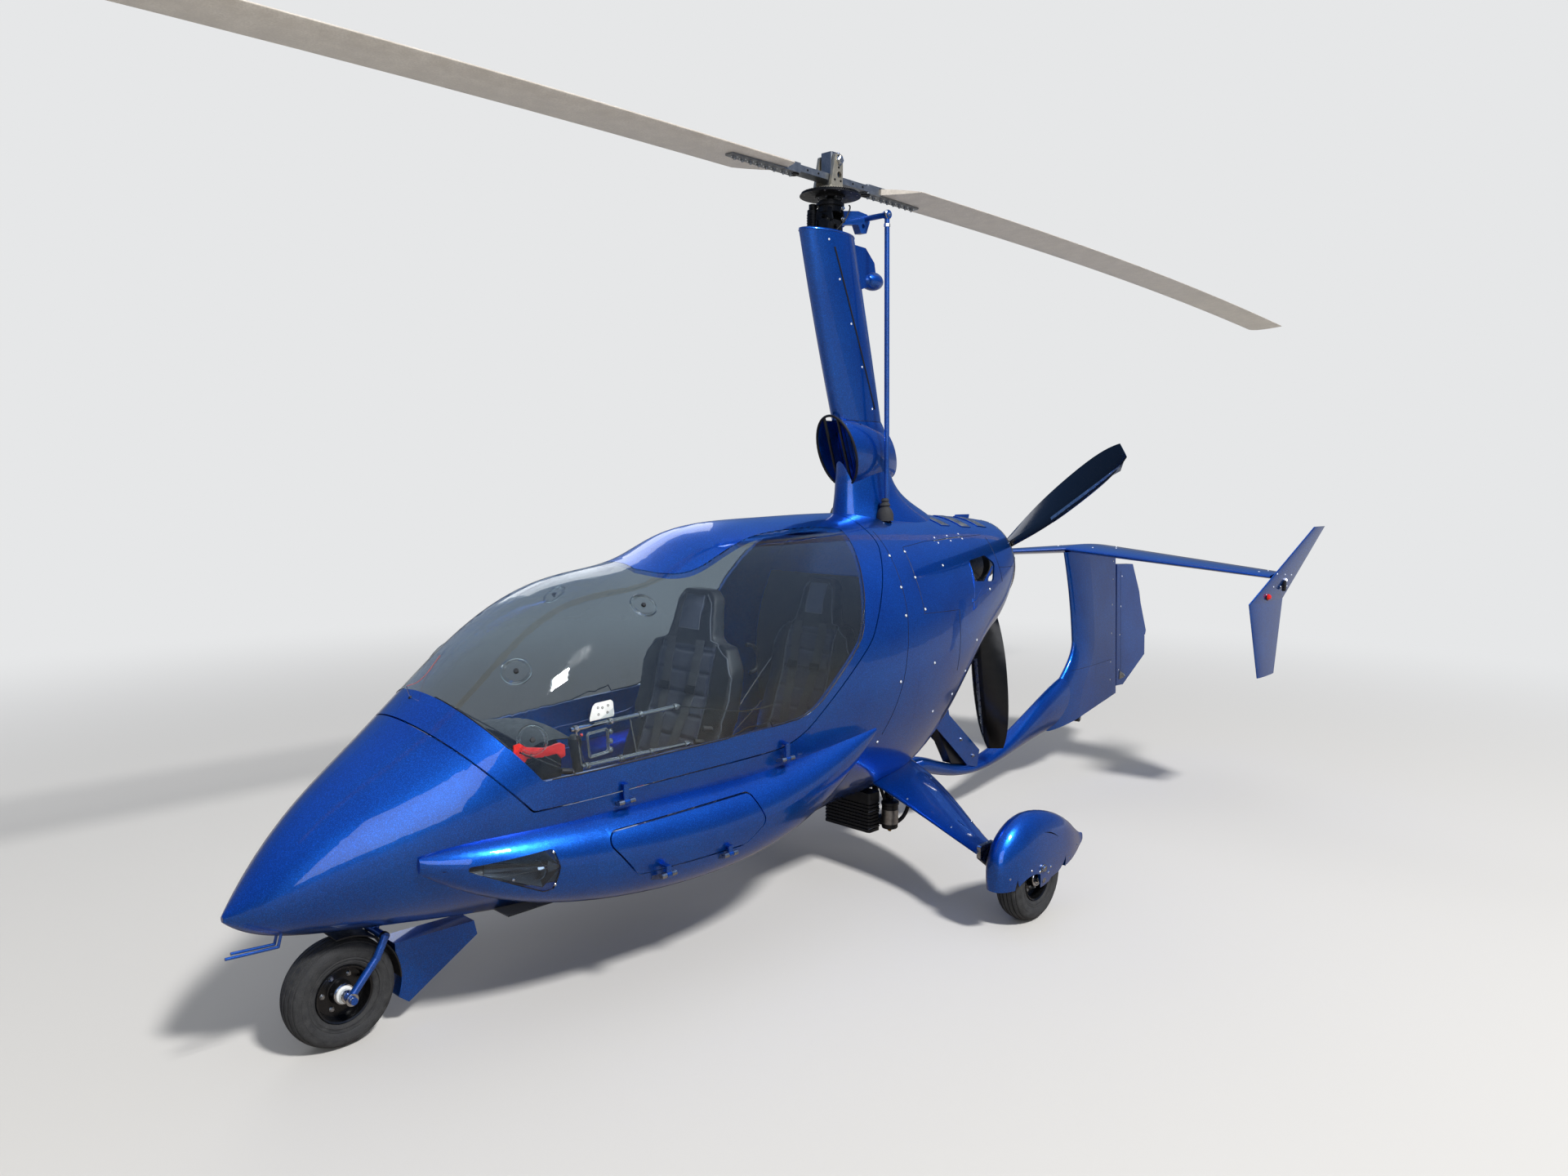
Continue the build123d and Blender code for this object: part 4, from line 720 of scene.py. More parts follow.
@dataclass
class Wheel:
    """Tyre, rim bolts, valve and hub sleeve of one wheel."""

    name: str
    body: str
    tyre_node: str
    centre: tuple[float, float, float]
    radius: float
    width: float
    rim: float = 0.080
    disc: float = 0.010         # half the rim's disc, where its bolts stand
    hub_end: float = 0.034
    grooves: tuple[float, ...] = (0.08, 0.24)
    bolts: int = 6

    def tread(self) -> Profile:
        """Outline of the tyre's wall, from one bead over the crown to the other.

        Returns:
            Radius and distance from the middle of each corner.
        """
        wide, high = self.width, self.radius
        side = [
            (self.rim, 0.33 * wide), (self.rim + 0.002, 0.375 * wide),
            (self.rim + 0.007, 0.405 * wide), (self.rim + 0.012, 0.42 * wide),
            (self.rim + 0.0135, 0.412 * wide), (self.rim + 0.016, 0.415 * wide),
            (self.rim + 0.0175, 0.445 * wide), (self.rim + 0.021, 0.452 * wide),
            (self.rim + 0.0225, 0.444 * wide), (0.70 * high, 0.475 * wide),
            (0.775 * high, 0.488 * wide), (0.80 * high, 0.488 * wide),
            (0.806 * high, 0.478 * wide), (0.812 * high, 0.485 * wide),
            (0.86 * high, 0.468 * wide), (0.905 * high, 0.430 * wide),
            (0.925 * high, 0.400 * wide), (0.93 * high, 0.385 * wide),
            (0.914 * high, 0.378 * wide), (0.918 * high, 0.364 * wide),
            (0.948 * high, 0.352 * wide),
        ]
        crown = []
        for groove in sorted(self.grooves, reverse=True):
            for step, depth in ((0.022, 0.0), (0.016, 0.0045), (-0.016, 0.0045), (-0.022, 0.0)):
                x = groove + step
                crown.append((high * (1 - 0.045 * (x / 0.34) ** 2) - depth, x * wide))
        half = side + crown
        return half + [(r, -x) for r, x in reversed(half)]

    def build(self) -> None:
        """Build the tyre in place of its plain node, then the rim's fittings."""
        place = aimed(self.centre, ABEAM)
        tyre = Form(f"{self.name}_tyre_ribbed")
        tyre.turned(self.tread(), Skin.RUBBER, place, 112, ring=True)
        for spot in range(0, 360, 15):
            turn = place @ Matrix.Rotation(math.radians(spot), 4, "Z")
            for side in SIDES:
                nub = turn @ aimed((0.835 * self.radius, 0, side * 0.474 * self.width), (0, 0, side))
                tyre.turned([(0, 0.0012), (0.0011, 0.001), (0.0013, -0.002), (0, -0.002)],
                            Skin.RUBBER, nub, 6)
        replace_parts(tyre.publish(self.body, 40), self.tyre_node)
        self.fittings(place)

    def fittings(self, place: Matrix) -> None:
        """Build the bolts, flange beads, valve and hub caps.

        Args:
            place: matrix of the wheel's middle, its own Z along the axle.
        """
        parts = Form(f"{self.name}_rim_fittings")
        for side in SIDES:
            face = place @ aimed((0, 0, side * self.disc), (0, 0, side))
            parts.bolts(face, face.to_3x3().col[2], self.bolts, 0.050, 0.010, 0.005, Skin.STEEL)
            parts.turned([(0.0335, -0.001), (0.037, -0.001), (0.037, 0.0012), (0.0335, 0.002)],
                         Skin.ENAMEL, face, 32, ring=True)
            bead = place @ aimed((0, 0, side * 0.34 * self.width), (0, 0, side))
            lip = self.rim
            parts.turned([(lip - 0.008, -0.004), (lip - 0.001, 0.0), (lip + 0.0005, 0.003),
                          (lip - 0.0015, 0.0062), (lip - 0.006, 0.004)], Skin.ENAMEL, bead, 64, ring=True)
            cap = place @ aimed((0, 0, side * self.hub_end), (0, 0, side))
            parts.turned([(0.0135, -0.004), (0.029, -0.004), (0.029, 0.0022), (0.0275, 0.004),
                          (0.0235, 0.004), (0.0225, 0.0015), (0.0195, 0.0015), (0.0185, 0.005),
                          (0.0135, 0.006)], Skin.POLISHED, cap, 40, ring=True)
        stem = place @ Matrix.Rotation(math.radians(25), 4, "Z")
        foot = stem @ Vector((0.066, 0, 0.009))
        tip = stem @ Vector((0.052, 0, 0.036))
        parts.bar(foot, foot.lerp(tip, 0.7), 0.0042, Skin.PLASTIC, 10)
        parts.bar(foot.lerp(tip, 0.68), tip, 0.0032, Skin.BRASS, 10)
        parts.publish(self.body)


@dataclass
class NoseGear:
    """Fittings of the nose fork: axle ends, hub sleeves, crown clamps."""

    axle: tuple[float, float] = (-2.008, 0.152)
    fork_x: float = 0.072
    crown: tuple[float, float] = (-1.903, 0.293)

    def build(self) -> None:
        """Build the fork's fittings."""
        parts = Form("nose_fork_fittings")
        y, z = self.axle
        for side in SIDES:
            start = Vector((side * 0.0385, y, z))
            parts.turned([(0.0128, 0.0), (0.0175, 0.0), (0.0175, 0.0205), (0.0128, 0.0215)],
                         Skin.POLISHED, aimed(start, (side, 0, 0)), 32, ring=True)
            parts.turned([(0.0128, 0.0), (0.0240, 0.0), (0.0240, 0.002), (0.022, 0.0034), (0.0128, 0.0034)],
                         Skin.WHITE_NYLON, aimed(start, (side, 0, 0)), 32, ring=True)
            outer = Vector((side * 0.0835, y, z))
            parts.ring(outer, (side, 0, 0), 0.0175, 0.0104, 0.0030, Skin.POLISHED)
            end = Vector((side * 0.0977, y, z))
            parts.turned([(0, -0.006), (0.0042, -0.006), (0.005, 0.0), (0.0085, 0.0002), (0.0100, -0.002),
                          (0.0102, -0.006)], Skin.POLISHED, aimed(end, (side, 0, 0)), 24)
            clamp = Vector((side * self.fork_x, self.crown[0], self.crown[1]))
            parts.ring(clamp - Vector((side * 0.012, 0, 0)), (side, 0, 0), 0.0135, 0.0108, 0.010,
                       Skin.BLACK_STEEL)
            way = Vector((0, -2.008 + 1.932, 0.152 - 0.240)).normalized()
            for share in (0.16, 0.84):
                spot = Vector((side * self.fork_x, -1.932, 0.240)).lerp(
                    Vector((side * self.fork_x, y, z)), share)
                parts.ring(spot, way, 0.0124, 0.0108, 0.006, Skin.PAINTED_TUBE)
        parts.publish("nose_gear")


@dataclass
class MainGear:
    """Brakes, axle nuts, spat screws and leg seams of the main gear."""

    axle: tuple[float, float] = (0.100, 0.155)

    def build(self) -> None:
        """Build both sides."""
        hide = Hide("wheel_spats")
        legs = Hide("gear_legs")
        for side, name in FLANKS:
            self.brake(side, name)
            self.spat(side, name, hide)
            self.leg(side, name, legs)

    def brake(self, side: float, name: str) -> None:
        """Brake disc on the wheel and its caliper on the axle plate."""
        disc = Form(f"brake_disc_{name}")
        y, z = self.axle
        place = across(side, 0.8440, y, z)
        profile = [(0.034, 0.0), (0.062, 0.0), (0.0625, 0.0005), (0.0625, 0.0035), (0.062, 0.004),
                   (0.034, 0.004)]
        disc.turned(profile, Skin.BRUSHED, place, 48, ring=True)
        disc.turned([(0.012, 0.004), (0.036, 0.004), (0.036, 0.014), (0.012, 0.014)], Skin.CAST, place,
                    32, ring=True)
        disc.bolts(place, (-side, 0, 0), 6, 0.040, 0.006, 0.003, Skin.STEEL)
        disc.publish(f"wheel_{name}")
        caliper = Form(f"brake_caliper_{name}")
        body = aimed((side * 0.8290, y - 0.052, z + 0.030), (side, 0, 0), 0)
        caliper.block((0.034, 0.052, 0.012), Skin.ANODISED_BLACK, body, 0.004)
        caliper.turned([(0, -0.003), (0.0115, -0.003), (0.0125, 0.0), (0.0125, 0.006), (0, 0.006)],
                       Skin.ANODISED_BLACK, body @ Matrix.Translation((0, 0, -0.003)), 24)
        for shift in (-0.019, 0.019):
            spot = body @ Vector((0, shift, 0))
            caliper.hexagon(spot, (-side, 0, 0), 0.008, 0.004, Skin.STEEL)
        caliper.wire([(side * 0.826, y - 0.052, z + 0.056), (side * 0.822, y - 0.060, z + 0.085),
                      (side * 0.812, y - 0.070, z + 0.104), (side * 0.800, y - 0.080, z + 0.112)],
                     0.003, Skin.HOSE, smooth=True)
        caliper.publish("airframe")

    def spat(self, side: float, name: str, hide: Hide) -> None:
        """Screws, the axle's nut and the painted-shade seam line along one spat."""
        parts = Form(f"spat_fittings_{name}")
        y, z = self.axle
        point, normal = hide.flank(side, y, z + 0.004)
        parts.hexagon(point, normal, 0.020, 0.008, Skin.STEEL)
        for spot in ((0.062, 0.196), (0.138, 0.196), (0.126, 0.178)):
            parts.screw(*hide.flank(side, *spot), 0.0055, Skin.POLISHED)
        for spot in ((-0.095, 0.205), (-0.040, 0.176), (0.300, 0.186), (0.395, 0.204)):
            parts.screw(*hide.flank(side, *spot), 0.0045, Skin.POLISHED)
        seam = [hide.hit((side * 0.890, -0.120 + 0.02 * step, 0.9), DOWN)[0]
                for step in range(29)]
        parts.wire(seam, 0.0008, Skin.SEAM)
        parts.publish("airframe")

    def leg(self, side: float, name: str, legs: Hide) -> None:
        """Screw rows and the seam of one leg's fairing."""
        parts = Form(f"leg_fittings_{name}")
        for x, y in ((0.34, 0.262), (0.62, 0.140), (0.40, 0.030), (0.70, -0.060)):
            parts.screw(*legs.hit((side * x, y, 0.8), DOWN), 0.005, Skin.POLISHED)
        rear = [(0.30, 0.272), (0.42, 0.230), (0.55, 0.172), (0.68, 0.104), (0.76, 0.050)]
        line = [legs.hit((side * x, y, 0.8), DOWN)[0] for x, y in along(rear, 4)]
        parts.wire(line, 0.0009, Skin.SEAM)
        parts.publish("airframe")


@dataclass
class RotorHead:
    """Bolts, washers and rod ends of the open rotor head."""

    teeter: float = 2.765
    tower_out: float = 0.045    # outer face of a tower plate
    level: float = 2.700
    bar_half: float = 0.012
    strap: float = 0.006
    straps: tuple[float, ...] = (0.225, 0.262, 0.310, 0.350, 0.390, 0.430, 0.470, 0.510)

    def build(self) -> None:
        """Build the head's four groups."""
        self.towers()
        self.bar()
        self.gear()
        self.gimbal()

    def towers(self) -> None:
        """Teeter bolt's nuts and washers, foot bolts and edge screws of the towers."""
        parts = Form("tower_bolts")
        for side in SIDES:
            face = (side * self.tower_out, 0, self.teeter)
            parts.ring(face, (side, 0, 0), 0.0165, 0.0093, 0.0022, Skin.POLISHED)
            for y in (-0.036, 0.036):
                parts.hexagon((side * 0.024, y * 1.05, 2.667), UP, 0.009, 0.005, Skin.BLACK_STEEL)
            for y, z in ((-0.008, 2.779), (-0.004, 2.738), (-0.026, 2.690), (0.008, 2.690)):
                parts.screw((side * self.tower_out, y, z), (side, 0, 0), 0.0048, Skin.BLACK_STEEL)
            top = (side * 0.039, -0.002, self.teeter + 0.022)
            parts.hexagon(top, UP, 0.008, 0.006, Skin.POLISHED)
        parts.publish("rotor_head")

    def bar(self) -> None:
        """Castle nuts on the teeter bolt, stack washers and strap washers of the hub bar."""
        parts = Form("hub_bar_fittings")
        for side in SIDES:
            end = (side * 0.0475, 0, self.teeter)
            parts.turned([(0.0092, 0.0), (0.0142, 0.0), (0.0146, 0.001), (0.0146, 0.007),
                          (0.0120, 0.0085), (0.0092, 0.0085)], Skin.POLISHED, aimed(end, (side, 0, 0)),
                         6, ring=True)
            parts.bar((side * 0.0535, -0.013, self.teeter), (side * 0.0535, 0.013, self.teeter), 0.0011,
                      Skin.POLISHED, 8)
            for y in (-0.017, 0.017):
                parts.screw((side * 0.016, y, self.teeter + 0.032), UP, 0.005, Skin.BLACK_STEEL)
        under = self.level - self.bar_half - self.strap
        over = self.level + self.bar_half + self.strap
        for end in (-1, 1):
            for reach in self.straps:
                parts.ring((0, end * reach, under), DOWN, 0.0128, 0.006, 0.0016, Skin.POLISHED, 20)
                parts.turned([(0, 0.0), (0.0044, 0.0), (0.0044, 0.0105), (0.0036, 0.0115), (0, 0.0115)],
                             Skin.STEEL, aimed((0, end * reach, under - 0.001), DOWN), 12)
                parts.ring((0, end * reach, over), UP, 0.0128, 0.006, 0.0016, Skin.POLISHED, 20)
            for side in SIDES:
                for reach in (0.10, 0.16):
                    face = (side * 0.028, end * reach, self.level)
                    parts.screw(face, (side, 0, 0), 0.0045, Skin.BLACK_STEEL)
            cap = (0, end * 0.208, under)
            parts.turned([(0, 0.0), (0.020, 0.0), (0.0215, 0.0018), (0.0195, 0.0042), (0.011, 0.0046),
                          (0.0095, 0.0026), (0, 0.0026)], Skin.BLACK_STEEL, aimed(cap, DOWN), 36)
        parts.publish("rotor")
        self.blades()

    def blades(self) -> None:
        """Spar seams and tip screws of the blades."""
        parts = Form("blade_fittings")
        for end, node in ((-1, "rotor_blade_fore"), (1, "rotor_blade_aft")):
            hide = Hide(node)
            for x in (0.052, 0.100):
                line = [hide.hit((end * x, end * reach / 100, 2.9), DOWN)[0]
                        for reach in range(62, 432, 10)]
                parts.wire(line, 0.0005, Skin.SEAM)
            for x in (-0.040, -0.012, 0.016, 0.044, 0.072):
                parts.screw(*hide.hit((end * x, end * 4.312, 2.9), DOWN), 0.0032, Skin.STEEL)
        parts.publish("rotor")

    def gear(self) -> None:
        """Flange screws of the ring gear, and the drive's washers under the towers."""
        parts = Form("ring_gear_fittings")
        for spot in range(12):
            angle = math.tau * spot / 12
            place = (0.104 * math.cos(angle), 0.104 * math.sin(angle), 2.637)
            parts.screw(place, DOWN, 0.0035, Skin.STEEL)
        for spot in range(8):
            angle = math.tau * (spot + 0.5) / 8
            place = (0.048 * math.cos(angle), 0.048 * math.sin(angle), 2.630)
            parts.hexagon(place, DOWN, 0.007, 0.004, Skin.STEEL)
        parts.ring((0, 0, 2.6525), UP, 0.064, 0.030, 0.0030, Skin.POLISHED, 48)
        parts.publish("rotor_head")

    def gimbal(self) -> None:
        """Prerotation drive, wiring and rod ends below the gear, and the gimbal's bolts."""
        parts = Form("gimbal_fittings")
        motor = aimed((-0.062, -0.030, 2.520), UP)
        parts.turned([(0, 0.0), (0.020, 0.0), (0.022, 0.003), (0.022, 0.070), (0.016, 0.074),
                      (0.016, 0.092), (0.010, 0.094), (0, 0.094)], Skin.BLACK_STEEL, motor, 32)
        for step in range(5):
            parts.ring((-0.062, -0.030, 2.530 + 0.010 * step), UP, 0.0236, 0.020, 0.004,
                       Skin.ANODISED_BLACK, 32)
        for side in SIDES:
            for z in (2.548, 2.588):
                parts.hexagon((side * 0.0545, 0.010, z), (side, 0, 0), 0.011, 0.006, Skin.POLISHED)
            joint = Vector((side * 0.120, 0.200, 2.587))
            parts.turned([(0.0155, -0.005), (0.0185, -0.003), (0.0185, 0.003), (0.0155, 0.005)],
                         Skin.STEEL, aimed(joint + Vector((side * 0.004, 0, 0)), (side, 0, 0)), 32, ring=True)
            parts.hexagon(joint + Vector((side * 0.012, 0, 0)), (side, 0, 0), 0.011, 0.005, Skin.POLISHED)
            foot = Vector((side * 0.120, 0.2006, 2.553))
            way = Vector((side * 0.005, 0.025, -1.247)).normalized()
            parts.turned([(0.0101, 0.0), (0.0125, 0.0), (0.0125, 0.012), (0.0101, 0.013)],
                         Skin.POLISHED, aimed(foot, way), 6, ring=True)
        parts.wire([(0.046, -0.020, 2.500), (0.064, 0.004, 2.530), (0.066, 0.034, 2.575),
                    (0.052, 0.060, 2.606), (0.036, 0.070, 2.612)], 0.0028, Skin.HOSE, smooth=True)
        parts.wire([(-0.030, 0.060, 2.500), (-0.046, 0.074, 2.540), (-0.040, 0.080, 2.580),
                    (-0.022, 0.066, 2.606)], 0.0024, Skin.HOSE, smooth=True)
        parts.publish("airframe")


@dataclass
class Propeller:
    """Hub bolts, root clamps and metal leading edges of the propeller."""

    centre: tuple[float, float, float] = (0.0, 1.098, 1.167)
    angles: tuple[float, ...] = (53.0, 173.0, 293.0)
    edge_reach: tuple[float, float] = (0.44, 0.845)

    def build(self) -> None:
        """Build the hub's fittings and the leading edge strips."""
        parts = Form("propeller_fittings")
        rear = aimed((0, self.centre[1] + 0.026, self.centre[2]), AFT)
        parts.turned([(0, 0.0), (0.030, 0.0), (0.030, 0.004), (0.024, 0.010), (0.016, 0.010),
                      (0.016, 0.006), (0, 0.006)], Skin.ANODISED, rear, 40)
        parts.bolts(rear, AFT, 6, 0.046, 0.011, 0.006, Skin.POLISHED)
        for angle in self.angles:
            out = Vector((math.sin(math.radians(angle)), 0, math.cos(math.radians(angle))))
            root = Vector(self.centre) + 0.064 * out
            parts.turned([(0.020, 0.0), (0.0285, 0.0), (0.0285, 0.016), (0.0245, 0.021), (0.020, 0.021)],
                         Skin.ANODISED, aimed(root, out), 36, ring=True)
            for side in SIDES:
                lug = root + 0.008 * out + side * 0.027 * Vector(AFT)
                parts.hexagon(lug, (0, side, 0), 0.007, 0.004, Skin.STEEL)
        parts.publish("propeller")
        self.edges()

    def edges(self) -> None:
        """Bond a thin metal strip round the outer leading edge of each blade."""
        parts = Form("blade_edge_strips")
        hide = Hide("propeller_blades")
        for angle in self.angles:
            turn = math.radians(angle)
            out = Vector((math.sin(turn), 0, math.cos(turn)))
            side_way = Vector((math.cos(turn), 0, -math.sin(turn)))
            rows = []
            for step in range(13):
                reach = self.edge_reach[0] + step / 12 * (self.edge_reach[1] - self.edge_reach[0])
                middle = Vector(self.centre) + reach * out
                rows.append(self.wrap(hide, middle, side_way, reach))
            parts.band(rows, 0.0004, Skin.STEEL)
        parts.publish("propeller")

    def wrap(self, hide: Hide, middle: Vector, side_way: Vector, reach: float) -> list[Vector]:
        """Points round the leading edge at one reach, a hair off the skin.

        Args:
            hide: the blades' skin.
            middle: the blade's middle at that reach.
            side_way: direction in the disc, square to the blade.
            reach: distance from the hub's centre.

        Returns:
            Seven points, from the front face round the nose to the rear face.
        """
        twist = math.radians(25 - 6 * (reach - 0.55) / 0.2)
        chord = math.cos(twist) * -1 * side_way + math.sin(twist) * Vector(AFT)
        flat = chord.cross(Vector((middle - Vector(self.centre)).normalized())).normalized()
        points = []
        for turn in (-75, -50, -25, 0, 25, 50, 75):
            way = math.cos(math.radians(turn)) * -chord + math.sin(math.radians(turn)) * flat
            nose = middle - 0.05 * chord
            point, normal = hide.hit(nose + 0.12 * way, -way)
            points.append(point + 0.0003 * normal)
        return points


@dataclass
class BodySkin:
    """Seams, screws, louvres, scoop mesh and lamps on the body mouldings."""

    screw: float = 0.0055
    seam: float = 0.0011
    louvre_in: float = 0.035    # from the middle to the banks' inner edge
    louvre_lean: float = 0.38   # aft for each metre outboard

    def build(self) -> None:
        """Build the skin's details on both flanks."""
        self.tub = Hide("cabin_tub", "engine_cowl", "canopy_frame", "mast_base")
        self.cowl = Hide("engine_cowl")
        for side, name in FLANKS:
            self.seams(side, name)
            self.screws(side, name)
            self.louvres(side, name)
            self.scoop(side, name)
            self.lamp(side, name)
        self.mast()
        self.ring()

    def trace(self, hide: Hide, side: float, line: list[tuple[float, float]],
              steps: int = 10) -> list[Vector]:
        """Lay a line given by Y and Z on the skin.

        Args:
            hide: the skin.
            side: which flank.
            line: corners of the line.
            steps: points between two corners.

        Returns:
            The points on the skin.
        """
        return [hide.flank(side, y, z)[0] for y, z in along(line, steps) + line[-1:]]

    def seams(self, side: float, name: str) -> None:
        """Shut lines of the cowl doors and of the cowl against the cabin."""
        parts = Form(f"body_seams_{name}")
        lines = [
            [(0.149, 1.298), (0.142, 1.285), (0.126, 1.187), (0.121, 1.068), (0.118, 1.050)],
            [(0.118, 1.052), (0.389, 1.043), (0.383, 1.002), (0.380, 0.90), (0.372, 0.80)],
            [(0.149, 1.298), (0.321, 1.313), (0.600, 1.320), (0.807, 1.322)],
            [(0.832, 1.310), (0.832, 1.229), (0.838, 1.184), (0.852, 1.120)],
            [(0.838, 1.184), (0.916, 1.179), (1.020, 1.176)],
        ]
        for line in lines:
            parts.wire(self.trace(self.cowl, side, line), self.seam, Skin.SEAM)
        front = [(0.045, 1.36), (0.040, 1.31), (0.031, 1.25), (0.020, 1.158), (0.004, 1.056),
                 (-0.020, 0.95), (-0.058, 0.82), (-0.105, 0.71), (-0.150, 0.63)]
        parts.wire(self.trace(self.tub, side, front), self.seam, Skin.SEAM)
        parts.publish("airframe")

    def screws(self, side: float, name: str) -> None:
        """White-headed screws along the seams, and the piano hinge of the cowl door."""
        parts = Form(f"body_screws_{name}")
        spots = [(0.031, 1.272), (0.013, 1.158), (-0.006, 1.056), (-0.077, 0.820), (-0.166, 0.604),
                 (0.142, 1.282), (0.126, 1.187), (0.129, 1.068), (0.356, 1.219), (0.372, 0.700),
                 (0.700, 1.10), (0.560, 0.90), (0.160, 0.86), (0.200, 0.66), (0.480, 0.78)]
        for y, z in spots:
            point, normal = self.tub.flank(side, y, z)
            parts.screw(point, normal, self.screw, Skin.NYLON_SCREW)
            parts.ring(point - 0.0006 * normal, normal, 1.35 * self.screw, 0.9 * self.screw, 0.001,
                       Skin.ENAMEL, 16)
        pin = self.trace(self.cowl, side, [(0.392, 1.3135), (0.52, 1.318), (0.642, 1.3215)], 12)
        parts.wire(pin, 0.0032, Skin.POLISHED)
        for y, low, high in ((0.418, 1.304, 1.324), (0.524, 1.308, 1.328), (0.626, 1.312, 1.332)):
            for z in (low, high):
                parts.screw(*self.cowl.flank(side, y, z), 0.0042, Skin.NYLON_SCREW)
        parts.publish("airframe")

    def slat(self, side: float, x: float, start: float, long: float, steps: int,
             lift: float) -> list[Vector]:
        """Points from the front to the back of one louvre bank, at one distance outboard."""
        front = start + self.louvre_lean * (x - self.louvre_in)
        return [self.cowl.roof(side * x, front + step / steps * long)[0] + Vector((0, 0, lift))
                for step in range(steps + 1)]

    def louvres(self, side: float, name: str) -> None:
        """Three banks of wire mesh under pressed slats on the cowl's shoulder."""
        parts = Form(f"cowl_louvres_{name}")
        for start, wide, long in ((0.520, 0.115, 0.060), (0.665, 0.115, 0.072), (0.815, 0.100, 0.074)):
            rows = [self.slat(side, self.louvre_in + row / 8 * wide, start, long, 4, 0.0012)
                    for row in range(9)]
            # mesh made pale: partly painted highlight of the louvre slots
            parts.band(rows, 0.0016, Skin.MESH)
            frame_line = [p + Vector((0, 0, 0.0008)) for p in
                          rows[0] + [r[-1] for r in rows] + rows[-1][::-1] + [r[0] for r in rows[::-1]]]
            parts.wire(frame_line, 0.0018, Skin.LACQUER, closed=True)
            for row in range(17):
                x = self.louvre_in + row / 16 * wide
                parts.wire(self.slat(side, x, start, long, 5, 0.0026), 0.0008, Skin.STEEL)
        parts.publish("airframe")

    def scoop(self, side: float, name: str) -> None:
        """Raised lip and wire mesh of the side air scoop."""
        parts = Form(f"side_scoop_{name}")
        corners = [(0.575, 1.222), (0.722, 1.234), (0.792, 1.203), (0.744, 1.136), (0.566, 1.148)]
        points = [self.cowl.flank(side, *spot) for spot in corners]
        sunk = [p - 0.012 * n for p, n in points]
        grown = [p + 0.0005 * n for p, n in points]
        line = []
        for a, b in zip(grown, grown[1:] + grown[:1]):
            line += [a.lerp(b, share) for share in (0.08, 0.36, 0.64, 0.92)]
        parts.wire(line, 0.0034, Skin.LACQUER, closed=True)
        low, high = sunk[4], sunk[0]
        low_aft, high_aft = sunk[3], sunk[2].lerp(sunk[1], 0.35)
        for step in range(15):
            share = (step + 0.5) / 15
            parts.bar(low.lerp(low_aft, share), high.lerp(high_aft, share), 0.0009, Skin.BLACK_STEEL, 6)
        for step in range(7):
            share = (step + 0.5) / 7
            parts.bar(low.lerp(high, share), low_aft.lerp(high_aft, share), 0.0009, Skin.BLACK_STEEL, 6)
        parts.publish("airframe")

    def lamp(self, side: float, name: str) -> None:
        """Landing lamp behind its window: tray, reflector, lens, gasket and screws."""
        parts = Form(f"landing_lamp_{name}")
        lens = Hide("landing_lenses")
        outline = [(-1.815, 0.529), (-1.740, 0.535), (-1.660, 0.541), (-1.588, 0.546), (-1.572, 0.538),
                   (-1.566, 0.515), (-1.564, 0.492), (-1.568, 0.460), (-1.578, 0.432), (-1.600, 0.425),
                   (-1.660, 0.454), (-1.740, 0.492), (-1.800, 0.520)]
        edge = [lens.flank(side, y, z) for y, z in outline]
        parts.wire([p - 0.001 * n for p, n in edge], 0.0026, Skin.GASKET, closed=True)
        rows = []
        for step in range(9):
            y = -1.805 + step / 8 * 0.232
            reach = (y + 1.815) / 0.25
            low, high = 0.523 - 0.096 * reach, 0.531 + 0.014 * reach
            row = []
            for rise in range(5):
                z = low + rise / 4 * (high - low)
                point = lens.flank(side, y, z)[0]
                deep = 0.012 + 0.040 * reach * math.sin(math.pi * rise / 4)
                row.append(point - Vector((side * deep, 0, 0)))
            rows.append(row)
        parts.band(rows, 0.0015, Skin.SATIN_BLACK)
        mouth = lens.flank(side, -1.612, 0.487)[0] - Vector((side * 0.034, 0, 0))
        way = Vector((side * 0.45, -1, 0.02))
        place = aimed(mouth, way)
        parts.turned([(0, -0.024), (0.010, -0.023), (0.019, -0.016), (0.0245, -0.004), (0.0255, 0.0),
                      (0.027, 0.0), (0.027, -0.005), (0.021, -0.018), (0.010, -0.0265), (0, -0.0265)],
                     Skin.REFLECTOR, place, 36)
        parts.turned([(0, -0.010), (0.004, -0.011), (0.0065, -0.016), (0.0065, -0.022), (0, -0.022)],
                     Skin.LAMP_WHITE, place, 20)
        parts.turned([(0.0262, 0.0012), (0.0285, 0.0012), (0.0285, -0.010), (0.0262, -0.010)],
                     Skin.POLISHED, place, 36, ring=True)
        for spot in ((-1.578, 0.536), (-1.574, 0.442), (-1.690, 0.480)):
            point, normal = lens.flank(side, *spot)
            parts.screw(point, normal, 0.0045, Skin.POLISHED)
        parts.publish("airframe")

